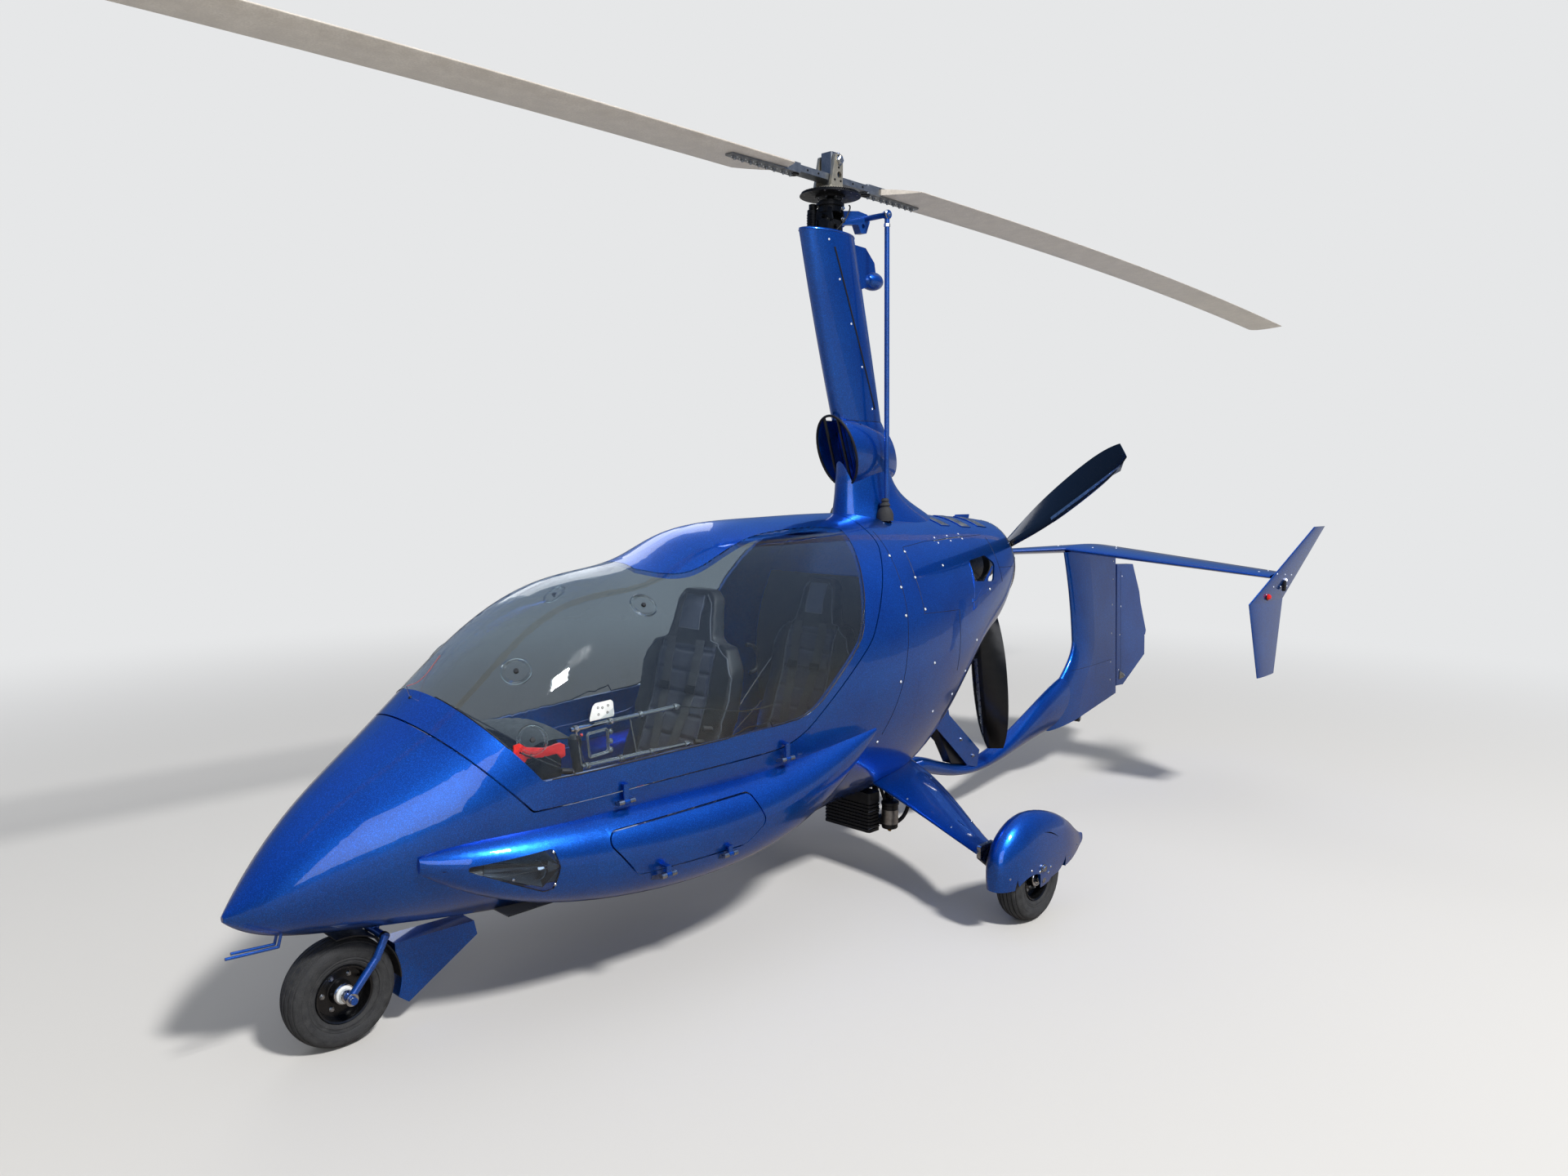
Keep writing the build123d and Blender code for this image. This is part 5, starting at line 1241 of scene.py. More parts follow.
    def mast(self) -> None:
        """Scoop trim and bars, seams and bolts of the mast."""
        parts = Form("mast_details")
        lean = math.atan2(0.105, 0.293)
        up = Vector((0, -math.sin(lean), math.cos(lean)))
        out = Vector((0, -math.cos(lean), -math.sin(lean)))
        middle = Vector((0, 0.058, 1.6685))
        turned = [middle + 0.0965 * math.cos(math.tau * s / 48) * Vector(ABEAM)
                  + 0.1465 * math.sin(math.tau * s / 48) * up for s in range(48)]
        parts.wire(turned, 0.0052, Skin.GASKET, closed=True)
        for x in (-0.034, 0.034):
            high = 0.146 * math.sqrt(1 - (x / 0.097) ** 2)
            foot = middle + Vector((x, 0, 0)) - high * up - 0.006 * out
            parts.block((0.009, 0.010, 2 * high), Skin.SATIN_BLACK, aimed(foot, up), 0.0025)
        for step in range(-3, 4):
            x = 0.022 * step
            high = 0.13 * math.sqrt(max(0.05, 1 - (x / 0.086) ** 2))
            foot = middle + Vector((x, 0, 0)) - high * up - 0.095 * out
            parts.bar(foot, foot + 2 * high * up, 0.0016, Skin.MESH_BLACK, 6)
        hide = Hide("mast_fairing", "mast_base")
        for side in SIDES:
            joint = [hide.flank(side, 0.05 + 0.012 * step, 1.790)[0] for step in range(22)]
            parts.wire(joint, 0.0012, Skin.SEAM)
            slot = [(0.218 - 0.44 * (z - 1.80) + 0.02, z) for z in (1.84, 2.00, 2.16, 2.32, 2.46)]
            line = [hide.flank(side, y, z)[0] for y, z in along(slot, 6)]
            parts.wire(line, 0.0035, Skin.GASKET)
            for y, z in slot:
                parts.screw(*hide.flank(side, y - 0.018, z), 0.0045, Skin.NYLON_SCREW)
            foot = Vector((side * 0.1235, 0.214, 1.425))
            parts.turned([(0.0102, 0.06), (0.017, 0.05), (0.013, 0.045), (0.022, 0.032), (0.017, 0.027),
                          (0.028, 0.012), (0.034, -0.004), (0.034, -0.03), (0.0102, -0.03)],
                         Skin.RUBBER, aimed(foot, (side * -0.004, -0.02, 1)), 28, ring=True)
            for shift in (-0.026, 0.026):
                spot, normal = self.tub.roof(side * (0.1235 + 0.022), 0.205 + shift)
                parts.screw(spot, normal, 0.005, Skin.POLISHED)
        top = [hide.hit((0.30 * math.sin(math.tau * s / 40), -0.018 + 0.40 * math.cos(math.tau * s / 40),
                         2.494), (-math.sin(math.tau * s / 40), -math.cos(math.tau * s / 40), 0))[0]
               for s in range(40)]
        parts.wire(top, 0.0026, Skin.LACQUER, closed=True)
        parts.publish("airframe")

    def ring(self) -> None:
        """Rivets and joint straps of the cowl's end ring."""
        parts = Form("cowl_ring_rivets")
        for spot in range(28):
            angle = math.tau * (spot + 0.5) / 28
            way = Vector((math.cos(angle), 0, math.sin(angle)))
            point = Vector((0, 1.0525, 1.165)) + 0.2115 * way
            parts.screw(point, way, 0.0034, Skin.STEEL)
        for angle in (12.0, 168.0, 270.0):
            turn = math.radians(angle)
            way = Vector((math.cos(turn), 0, math.sin(turn)))
            place = aimed(Vector((0, 1.0455, 1.165)) + 0.2100 * way, way, 0)
            parts.block((0.026, 0.011, 0.0022), Skin.BRUSHED, place, 0.0008)
        parts.publish("airframe")


@dataclass
class Canopy:
    """Trim of the canopy: window gasket, vents, yaw string and latch linkage."""

    vent_radius: float = 0.042
    vents: tuple[tuple[float, float], ...] = ((-1.567, 1.014), (-1.122, 1.169))
    sill_vent: tuple[float, float] = (-1.586, 0.837)

    def build(self) -> None:
        """Build every piece that rides on the canopy."""
        self.glass = Hide("canopy_glass")
        self.frame = Hide("canopy_frame")
        self.gasket()
        for side, name in FLANKS:
            self.vent(side, name)
        self.linkage()
        self.string()

    def gasket(self) -> None:
        """Black sealant bead between window and frame, traced where the two meet."""
        parts = Form("canopy_gasket")
        outline = [(-1.756, 0.958), (-1.70, 0.885), (-1.64, 0.808), (-1.575, 0.724), (-1.40, 0.729),
                   (-1.20, 0.737), (-1.00, 0.745), (-0.80, 0.752), (-0.62, 0.762), (-0.50, 0.800),
                   (-0.40, 0.885), (-0.30, 0.972), (-0.245, 1.060), (-0.195, 1.190), (-0.150, 1.300)]
        for side in SIDES:
            line = []
            for y, z in along(outline, 6):
                point, normal = self.glass.flank(side, y, z)
                line.append(point - 0.0004 * normal)
            parts.wire(line, 0.0022, Skin.GASKET)
        parts.publish("canopy")

    def vent(self, side: float, name: str) -> None:
        """Turning air vents let into the window, a third one low on the port side."""
        parts = Form(f"window_vents_{name}")
        low = (self.sill_vent,) if side == PORT else ()
        for y, z in self.vents + low:
            point, normal = self.glass.flank(side, y, z)
            place = aimed(point - 0.0045 * normal, normal)
            r = self.vent_radius
            parts.turned([(r - 0.003, 0.0), (r + 0.002, 0.0), (r + 0.002, 0.0052), (r, 0.0068),
                          (r - 0.002, 0.0068), (r - 0.003, 0.0055)], Skin.CLEAR_RIM, place, 48, ring=True)
            parts.turned([(r - 0.0085, 0.001), (r - 0.0065, 0.001), (r - 0.0065, 0.0062),
                          (r - 0.0085, 0.0062)], Skin.CLEAR_RIM, place, 48, ring=True)
            parts.turned([(0, 0.0015), (0.0075, 0.0015), (0.0075, 0.008), (0.006, 0.0095), (0, 0.0095)],
                         Skin.PLASTIC, place, 24)
        parts.publish("canopy")

    def linkage(self) -> None:
        """Latch rods, square frame, bracket plate, red catch and knobs inside the sill."""
        parts = Form("canopy_latch")
        x = 0.352
        rods = [((x, -1.478, 0.852), (x + 0.012, -1.088, 0.866)),
                ((x + 0.006, -1.446, 0.742), (x + 0.016, -1.048, 0.744))]
        for start, end in rods:
            a, b = Vector(start), Vector(end)
            parts.bar(a, b, 0.0065, Skin.POLISHED, 16)
            for share in (0.04, 0.34, 0.62, 0.96):
                spot = a.lerp(b, share)
                parts.ring(spot - Vector((0, 0.006, 0)), b - a, 0.0095, 0.0062, 0.012, Skin.ANODISED, 20)
                parts.hexagon(spot + Vector((0.0095, 0, 0)), ABEAM, 0.008, 0.004, Skin.POLISHED)
        for y, tilt in ((-1.462, 0.014), (-1.270, 0.020)):
            parts.bar((x + 0.002, y, 0.852), (x + 0.008, y + tilt, 0.744), 0.0024, Skin.POLISHED, 8)
        corners = [(-1.428, 0.834), (-1.353, 0.838), (-1.349, 0.766), (-1.420, 0.761)]
        square = []
        for (y0, z0), (y1, z1) in zip(corners, corners[1:] + corners[:1]):
            square += [(x + 0.004, y0 + s * (y1 - y0), z0 + s * (z1 - z0)) for s in (0.08, 0.92)]
        parts.wire(square, 0.0028, Skin.POLISHED, closed=True)
        inner = [(px - 0.001, y * 0.86 + -1.3875 * 0.14, z * 0.86 + 0.800 * 0.14) for px, y, z in square]
        parts.wire(inner, 0.0016, Skin.POLISHED, closed=True)
        for z in (0.772, 0.798, 0.826):
            parts.screw((x + 0.006, -1.342, z), ABEAM, 0.0065, Skin.POLISHED)
            parts.block((0.012, 0.016, 0.004), Skin.ANODISED, across(PORT, x, -1.342, z), 0.001)
        plate = Matrix.Translation((x + 0.006, -1.418, 0.868)) @ Matrix(
            ((0, 0, 1, 0), (1, 0, 0, 0), (0, 1, 0, 0), (0, 0, 0, 1)))
        outline = [(0.0, 0.0), (0.083, 0.003), (0.086, 0.010), (0.083, 0.046), (0.074, 0.053),
                   (0.020, 0.050), (0.010, 0.042), (0.0, 0.010)]
        parts.plate(outline, 0.0025, Skin.WHITE_NYLON, plate, 0.0008)
        for px, py in ((0.028, 0.036), (0.044, 0.034), (0.064, 0.038), (0.030, 0.016), (0.062, 0.018)):
            parts.ring(plate @ Vector((px, py, 0.0024)), ABEAM, 0.0036, 0.0022, 0.0010,
                       Skin.BLACK_STEEL, 16)
        red = [(-1.640, 0.812), (-1.640, 0.858), (-1.622, 0.862), (-1.604, 0.848), (-1.548, 0.838),
               (-1.500, 0.846), (-1.486, 0.838), (-1.484, 0.806), (-1.498, 0.800), (-1.510, 0.816),
               (-1.556, 0.812), (-1.600, 0.816), (-1.616, 0.796)]
        handle = [(y + 1.56, z - 0.83) for y, z in red]
        place = Matrix.Translation((0.318, -1.56, 0.800)) @ Matrix(
            ((0.12, 0, 0.99, 0), (1, 0, 0, 0), (0, 1, 0, 0), (0, 0, 0, 1)))
        parts.plate(handle, 0.007, Skin.RED_CATCH, place, 0.0016)
        for px, py in ((-0.062, 0.006), (-0.070, -0.022), (-0.030, -0.004)):
            parts.screw(place @ Vector((px, py, 0.0072)), ABEAM, 0.003, Skin.BLACK_STEEL)
        for y, z in ((-1.515, 0.742), (-0.985, 0.778), (-1.020, 0.742)):
            knob = Vector((x + 0.004, y, z))
            parts.turned([(0, 0.0), (0.0085, 0.001), (0.0085, 0.030), (0.0065, 0.034), (0, 0.034)],
                         Skin.PLASTIC, aimed(knob, (0.35, 0.9, -0.15)), 20)
            parts.screw(knob + 0.035 * Vector((0.35, 0.9, -0.15)).normalized(), (0.35, 0.9, -0.15), 0.004,
                        Skin.POLISHED)
        parts.publish("canopy")
        cable = Form("latch_cable")
        cable.wire([(x + 0.012, -1.088, 0.866), (x + 0.006, -0.98, 0.842), (x + 0.004, -0.86, 0.812),
                    (x + 0.002, -0.74, 0.800), (x - 0.002, -0.66, 0.806)], 0.0022, Skin.HOSE, smooth=True)
        cable.publish("canopy")

    def string(self) -> None:
        """Yaw string on its small post ahead of the window."""
        point, normal = self.frame.roof(0.0, -1.775)
        post = Form("yaw_string_post")
        tip = point + Vector((0.004, -0.012, 0.034))
        post.bar(point - 0.002 * normal, tip, 0.0016, Skin.POLISHED, 8)
        post.screw(point, normal, 0.006, Skin.PLASTIC)
        post.publish("canopy")
        route = [tip, tip + Vector((-0.002, 0.012, 0.002))]
        hide = Hide("canopy_frame", "canopy_glass")
        for step in range(1, 7):
            y = tip.y + 0.016 + 0.020 * step
            x = tip.x - 0.004 - 0.0085 * step
            skin = hide.roof(x, y)[0]
            lift = max(0.0015, 0.030 * (1 - step / 4) ** 2 if step < 4 else 0.0015)
            route.append(Vector((x, y, skin.z + lift)))
        curve = bpy.data.curves.new("yaw_string", "CURVE")
        curve.dimensions = "3D"
        line = curve.splines.new("NURBS")
        line.points.add(len(route) - 1)
        for spot, place in zip(line.points, route):
            spot.co = (*place, 1.0)
        line.order_u = 3
        line.use_endpoint_u = True
        curve.bevel_depth = 0.0008
        curve.materials.append(Skin.RED_YARN.material())
        string = bpy.data.objects.new("yaw_string", curve)
        bpy.context.scene.collection.objects.link(string)
        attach(string, "canopy")


@dataclass
class BucketSeat:
    """Upholstered bucket seat with sewn channels, piping and a four-point harness."""

    name: str
    node: str
    shift: float                # along the machine, from the drawing's own seat
    width: float
    voxel: float = 0.010
    swell: float = 0.009
    pitch: float = 0.072        # between sewn channels
    seam: float = 0.0065        # reach of a seam's dip to either side
    frames: int = 20            # of cloth solving
    middle_share: float = 0.140    # of the width, to the sewn middle's edge
    inset_share: float = 0.052     # of the width, to the headrest panel's edge

    def build(self) -> None:
        """Upholster the seat, then sew and belt it."""
        pad = self.upholster()
        self.hide = Hide(pad.data)
        self.piping()
        self.harness()

    def upholster(self) -> bpy.types.Object:
        """Remesh the plain seat, inflate it as cloth over foam, and sew its channels.

        Returns:
            The padded seat.
        """
        shape = bmesh.new()
        shape.from_mesh(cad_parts[self.node].data)
        bmesh.ops.remove_doubles(shape, verts=shape.verts, dist=1e-5)
        mesh = bpy.data.meshes.new(self.name)
        shape.to_mesh(mesh)
        shape.free()
        pad = bpy.data.objects.new(self.name, mesh)
        bpy.context.scene.collection.objects.link(pad)
        even = pad.modifiers.new("even", "REMESH")
        even.mode = "VOXEL"
        even.voxel_size = self.voxel
        self.bake(pad)
        shape = bmesh.new()
        shape.from_mesh(pad.data)
        for _ in range(5):
            bmesh.ops.smooth_vert(shape, verts=shape.verts, factor=0.5, use_axis_x=True,
                                  use_axis_y=True, use_axis_z=True)
        shape.normal_update()
        for vert in shape.verts:
            vert.co -= 0.003 * vert.normal
        shape.to_mesh(pad.data)
        shape.free()
        self.inflate(pad)
        finer = pad.modifiers.new("finer", "SUBSURF")
        finer.levels = finer.render_levels = 1
        self.bake(pad)
        self.sew(pad)
        for face in pad.data.polygons:
            face.use_smooth = True
        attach(pad, "airframe")
        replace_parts(pad, self.node)
        LOG.info("%s, %d faces", self.name, len(pad.data.polygons))
        return pad

    def bake(self, pad: bpy.types.Object) -> None:
        """Apply the piece's modifiers to its mesh."""
        view = bpy.context.evaluated_depsgraph_get()
        view.update()
        old = pad.data
        new = bpy.data.meshes.new_from_object(pad.evaluated_get(view))
        pad.modifiers.clear()
        pad.data = new
        bpy.data.meshes.remove(old)

    def inflate(self, pad: bpy.types.Object) -> None:
        """Blow the cover up from inside for twenty frames, and cap how far it moves."""
        rest = [vert.co.copy() for vert in pad.data.vertices]
        cloth = pad.modifiers.new("padding", "CLOTH")
        cloth.settings.quality = 4
        cloth.settings.use_pressure = True
        cloth.settings.uniform_pressure_force = 4.0
        cloth.settings.effector_weights.gravity = 0.0
        cloth.settings.bending_stiffness = 1.5
        cloth.point_cache.frame_start = 1
        cloth.point_cache.frame_end = self.frames
        scene = bpy.context.scene
        for step in range(1, self.frames + 1):
            scene.frame_set(step)
        view = bpy.context.evaluated_depsgraph_get()
        moved = [vert.co.copy() for vert in pad.evaluated_get(view).data.vertices]
        pad.modifiers.clear()
        for vert, old, new in zip(pad.data.vertices, rest, moved):
            step = new - old
            vert.co = old + (step if step.length <= self.swell else step.normalized() * self.swell)
        scene.frame_set(1)

    def channel(self, place: float) -> float:
        """Distance from a place to the nearest sewn channel."""
        off = place % self.pitch
        return min(off, self.pitch - off)

    def dip(self, off: float, depth: float) -> float:
        """Depth of a seam at a distance from its thread."""
        return depth * math.exp(-(off / self.seam) ** 2)

    def sew(self, pad: bpy.types.Object) -> None:
        """Press the channels' seams into the middle panels and colour the panels apart."""
        low, high = 0.530, 0.980
        middle = self.middle_share * self.width
        pad.data.materials.clear()
        for finish in (Skin.HIDE, Skin.CLOTH, Skin.PALE_CLOTH):
            pad.data.materials.append(finish.material())
        normals = [vert.normal.copy() for vert in pad.data.vertices]
        for vert, normal in zip(pad.data.vertices, normals):
            x, y, z = vert.co
            lead = normal.y < -0.35 or normal.z > 0.6
            if not lead or abs(x) > middle + 0.02:
                continue
            depth = 0.0
            if low < z < high:
                depth = self.dip(self.channel(z - low), 0.0065)
            elif z <= low and y < -0.80 + self.shift:
                depth = self.dip(self.channel(y - self.shift + 1.10), 0.0060)
            edge = abs(abs(x) - middle)
            depth = max(depth if abs(x) < middle else 0.0, self.dip(edge, 0.0075))
            vert.co -= depth * normal
        for face in pad.data.polygons:
            x, _, z = face.center
            ahead = face.normal.y < -0.3
            inside = abs(x) < middle and (ahead or face.normal.z > 0.6) and z < high
            panel = abs(x) < self.inset_share * self.width and 1.035 < z < 1.150 and ahead
            face.material_index = 1 if inside else 2 if panel else 0

    def lay(self, x: float, level: float) -> Vector:
        """Point on the seat's front at a level, seen from ahead."""
        point, normal = self.hide.hit((x, -2.2 + self.shift, level), AFT)
        return point + 0.0008 * normal

    def drop(self, x: float, y: float) -> Vector:
        """Point on the cushion seen from above, Y counted from the seat's own place."""
        point, normal = self.hide.hit((x, y + self.shift, 0.78), DOWN)
        return point + 0.0008 * normal

    def piping(self) -> None:
        """Light piping along the bolsters and round the headrest's inset panel."""
        parts = Form(f"{self.name}_piping")
        middle = self.middle_share * self.width
        for side in SIDES:
            line = [self.lay(side * middle, 0.56 + 0.02 * step) for step in range(21)]
            parts.wire(line, 0.0022, Skin.PIPING)
            line = [self.drop(side * middle, -1.07 + 0.02 * step) for step in range(12)]
            parts.wire(line, 0.0022, Skin.PIPING)
            wing = [(0.232, 0.62), (0.238, 0.72), (0.243, 0.82), (0.244, 0.89), (0.214, 0.955),
                    (0.165, 0.988), (0.124, 1.006), (0.108, 1.06), (0.098, 1.13), (0.064, 1.168)]
            smooth = [self.lay(side * (x - 0.012) * self.width, z - 0.004)
                      for x, z in along(wing, 4)]
            parts.wire(smooth, 0.0024, Skin.PIPING)
        half = self.inset_share * self.width
        corners = [(-half, 1.035), (half, 1.035), (half * 0.86, 1.150), (-half * 0.86, 1.150)]
        border = [self.lay(x, z) for x, z in along(corners, 8, closed=True)]
        parts.wire(border, 0.0016, Skin.PIPING, closed=True)
        parts.publish("airframe")

    def strap(self, parts: Form, line: list[tuple[Vector, Vector]], half: float) -> None:
        """Flat webbing along a line.

        Args:
            parts: the piece it belongs to.
            line: points of the strap's middle, each with its sideways direction.
            half: half the webbing's width.
        """
        rows = [[point + shift * way for shift in (-half, -0.5 * half, 0.0, 0.5 * half, half)]
                for point, way in line]
        parts.band(rows, 0.0018, Skin.WEBBING)

    def harness(self) -> None:
        """Two shoulder straps, two lap straps and the buckle."""
        parts = Form(f"{self.name}_harness")
        flat = Vector(ABEAM)
        buckle = self.drop(0.0, -0.845) + Vector((0, 0, 0.012))
        for side in SIDES:
            line = []
            for step in range(22):
                share = step / 21
                x = side * (0.074 - 0.045 * share ** 2) * self.width
                level = 1.000 - share * (1.000 - 0.560)
                line.append((self.lay(x, level) + Vector((0, -0.004 - 0.008 * share, 0.001)), flat))
            last = line[-1][0]
            for share in (0.35, 0.7, 1.0):
                line.append((last.lerp(buckle + Vector((side * 0.018, 0.012, 0.0)), share), flat))
            self.strap(parts, line, 0.021)
            slide = line[8][0] + Vector((0, -0.004, 0))
            parts.block((0.050, 0.030, 0.003), Skin.BLACK_STEEL, aimed(slide, (0, -1, 0.25)), 0.001)
            lap = []
            for step in range(12):
                share = step / 11
                x = side * (0.155 * self.width * (1 - share) + 0.024 * share)
                point = self.drop(x, -0.800 - 0.045 * share)
                lap.append((point + Vector((0, 0, 0.004 + 0.008 * share)), Vector(AFT)))
            self.strap(parts, lap, 0.021)
        parts.turned([(0, 0.0), (0.026, 0.0), (0.030, 0.003), (0.030, 0.012), (0.027, 0.016), (0, 0.018)],
                     Skin.SATIN_BLACK, aimed(buckle, (0, -0.3, 1)), 32)
        parts.block((0.012, 0.040, 0.004), Skin.RED_CATCH, aimed(buckle + Vector((0, -0.004, 0.016)),
                                                               (0, -0.3, 1)), 0.001)
        parts.publish("airframe")


@dataclass
class Cockpit:
    """Dials, glareshield, stick, pedals, levers and cables of the cabin."""

    panel_y: float = -1.385
    panel_z: float = 0.690

    def build(self) -> None:
        """Build the cockpit's pieces."""
        self.dials()
        self.controls()
        self.trim()

    def dial(self, parts: Form, x: float, z: float, radius: float, marks: int, aim: float) -> None:
        """One round instrument with bezel, marks and needle.

        Args:
            parts: the piece it belongs to.
            x: across the panel.
            z: up the panel.
            radius: of its bezel.
            marks: number of scale marks.
            aim: the needle's angle in degrees.
        """
        place = aimed((x, self.panel_y, z), AFT)
        parts.turned([(radius * 0.84, -0.002), (radius, -0.002), (radius, 0.004), (radius * 0.94, 0.007),
                      (radius * 0.84, 0.005)], Skin.BLACK_STEEL, place, 40, ring=True)
        parts.turned([(0, -0.001), (radius * 0.86, -0.001), (radius * 0.86, 0.001), (0, 0.001)],
                     Skin.SATIN_BLACK, place, 40)
        for step in range(marks):
            turn = place @ Matrix.Rotation(math.radians(-140 + 280 * step / (marks - 1)), 4, "Z")
            long = 0.16 if step % 5 == 0 else 0.09
            parts.bar(turn @ Vector((0, radius * (0.78 - long), 0.0012)),
                      turn @ Vector((0, radius * 0.78, 0.0012)), 0.0005, Skin.PRINT, 4)
        turn = place @ Matrix.Rotation(math.radians(aim), 4, "Z")
        parts.bar(turn @ Vector((0, -radius * 0.16, 0.0022)), turn @ Vector((0, radius * 0.66, 0.0022)),
                  0.0009, Skin.PRINT, 6)
        parts.turned([(0, 0.001), (0.003, 0.001), (0.003, 0.0034), (0, 0.0036)], Skin.BLACK_STEEL,
                     place, 16)

    def dials(self) -> None:
        """Instrument faces on the pilot's side, and their cases ahead of the panel."""
        parts = Form("panel_instruments")
        plan = [(-0.120, 0.040, 0.034, 21, 40), (-0.045, 0.040, 0.034, 26, -60),
                (0.118, 0.042, 0.030, 16, 110), (-0.125, -0.038, 0.026, 11, -20),
                (-0.062, -0.040, 0.026, 11, 75), (0.126, -0.034, 0.026, 16, 10)]
        for x, z, radius, marks, aim in plan:
            self.dial(parts, x, self.panel_z + z, radius, marks, aim)
            back = aimed((x, -1.455, self.panel_z + z), AHEAD)
            parts.turned([(0, 0.0), (radius * 0.86, 0.0), (radius * 0.86, 0.048), (radius * 0.80, 0.052),
                          (0, 0.052)], Skin.SATIN_BLACK, back, 28)
            parts.turned([(0, 0.052), (0.006, 0.052), (0.006, 0.066), (0, 0.066)], Skin.BRASS, back, 12)
        screen = aimed((0.036, self.panel_y - 0.001, self.panel_z + 0.004), AFT)
        parts.block((0.096, 0.132, 0.008), Skin.SATIN_BLACK, screen, 0.003)
        parts.block((0.084, 0.110, 0.009), Skin.SCREEN, screen, 0.001)
        for step in range(5):
            spot = screen @ Vector((-0.034 + 0.017 * step, -0.060, 0.008))
            parts.turned([(0, 0.0), (0.0035, 0.0), (0.0032, 0.003), (0, 0.0034)], Skin.PLASTIC,
                         aimed(spot, AFT), 14)
        for step in range(7):
            x = -0.135 + 0.020 * step
            spot = Vector((x, self.panel_y, self.panel_z - 0.074))
            parts.turned([(0, -0.001), (0.0048, -0.001), (0.0048, 0.002), (0, 0.002)], Skin.POLISHED,
                         aimed(spot, AFT), 12)
            parts.bar(spot, spot + Vector((0, 0.014, 0.006 if step % 2 else -0.006)), 0.0018,
                      Skin.POLISHED, 8)
        shield = []
        for step in range(13):
            x = -0.185 + 0.37 * step / 12
            crown = 0.022 * math.cos(math.pi * step / 12 - math.pi / 2)
            shield.append([Vector((x, y, 0.782 + crown + drop)) for y, drop in
                           ((-1.505, -0.010), (-1.47, 0.0), (-1.42, 0.002), (-1.365, -0.002),
                            (-1.355, -0.010))])
        parts.band(shield, 0.003, Skin.SATIN_BLACK)
        looms = (
            ((-0.10, -1.52, 0.71), (-0.09, -1.56, 0.64), (-0.05, -1.54, 0.52), (-0.03, -1.46, 0.44)),
            ((0.10, -1.51, 0.72), (0.11, -1.56, 0.66), (0.06, -1.56, 0.54), (0.02, -1.47, 0.45)),
            ((0.03, -1.46, 0.66), (0.02, -1.53, 0.60), (0.04, -1.53, 0.50), (0.03, -1.46, 0.42)),
        )
        for route in looms:
            parts.wire(list(route), 0.0032, Skin.HOSE, smooth=True)
        parts.publish("airframe")

    def controls(self) -> None:
        """Stick with its boot and grip, pedals, throttle and brake levers."""
        parts = Form("flight_controls")
        foot = Vector((0, -1.235, 0.330))
        top = Vector((0, -1.200, 0.600))
        parts.turned([(0.052, -0.010), (0.058, 0.0), (0.040, 0.012), (0.046, 0.022), (0.030, 0.034),
                      (0.034, 0.046), (0.018, 0.062), (0.012, 0.064), (0.012, -0.010)], Skin.RUBBER,
                     aimed(foot, (0, 0.13, 1)), 32, ring=True)
        parts.bar(foot, top, 0.0105, Skin.BLACK_STEEL, 20)
        grip = [(0, -0.008), (0.014, -0.008), (0.019, 0.0), (0.0155, 0.016), (0.018, 0.034), (0.0155, 0.052),
                (0.018, 0.070), (0.0175, 0.092), (0.022, 0.108), (0.021, 0.126), (0.013, 0.136), (0, 0.138)]
        parts.turned(grip, Skin.PLASTIC, aimed(top, (0, -0.12, 1)), 24)
        parts.turned([(0, 0), (0.005, 0), (0.005, 0.006), (0, 0.007)], Skin.RED_CATCH,
                     aimed(top + Vector((0, 0.010, 0.128)), (0, 0.9, 0.45)), 14)
        for side in SIDES:
            base = Vector((side * 0.105, -1.640, 0.345))
            head = Vector((side * 0.105, -1.655, 0.470))
            parts.bar(base, head, 0.0075, Skin.ANODISED, 14)
            parts.block((0.078, 0.058, 0.006), Skin.ANODISED, aimed(head, (0, 1, 0.35)), 0.002)
            for step in (-0.018, 0.0, 0.018):
                spot = head + Vector((0, 0.006, step))
                parts.bar(spot - Vector((0.034, 0, 0)), spot + Vector((0.034, 0, 0)), 0.0022,
                          Skin.RUBBER, 8)
            parts.bar((side * 0.055, -1.640, 0.352), (side * 0.155, -1.640, 0.352), 0.009,
                      Skin.BLACK_STEEL, 14)
        quadrant = Matrix.Translation((0.262, -1.16, 0.470))
        parts.block((0.050, 0.190, 0.060), Skin.SATIN_BLACK, quadrant, 0.006)
        for x, lean, cap in ((0.252, 0.030, Skin.PLASTIC), (0.274, -0.016, Skin.RED_CATCH)):
            start = Vector((x, -1.150, 0.528))
            end = Vector((x, -1.150 + lean, 0.600))
            parts.bar(start, end, 0.0045, Skin.POLISHED, 12)
            parts.turned([(0, -0.004), (0.009, 0.0), (0.0125, 0.012), (0.011, 0.026), (0, 0.031)], cap,
                         aimed(end, end - start), 20)
        parts.publish("airframe")

    def trim(self) -> None:
        """Floor mats, the rear grab handles and the dark rear bulkhead lining."""
        parts = Form("cabin_trim")
        for y0, y1 in ((-1.62, -1.28), (-0.70, -0.46)):
            rows = [[Vector((x, y0 + s / 6 * (y1 - y0), 0.3195 + 0.0006 * math.sin(9 * s + 40 * x)))
                     for x in (-0.24, -0.16, -0.08, 0.0, 0.08, 0.16, 0.24)] for s in range(7)]
            parts.band(rows, 0.004, Skin.CARPET)
        for side in SIDES:
            start = Vector((side * 0.18, -0.618, 0.985))
            end = Vector((side * 0.18, -0.600, 0.885))
            parts.wire([start, start + Vector((0, 0.050, 0.0)), end + Vector((0, 0.050, 0.0)), end],
                       0.007, Skin.BLACK_STEEL, smooth=True)
        rows = []
        for step in range(9):
            z = 0.62 + 0.070 * step
            half = 0.405 * math.sqrt(max(0.08, 1 - ((z - 0.84) / 0.56) ** 2))
            rows.append([Vector((half * s / 4, 0.024, z)) for s in range(-4, 5)])
        parts.band(rows, 0.006, Skin.CARPET)
        parts.publish("airframe")


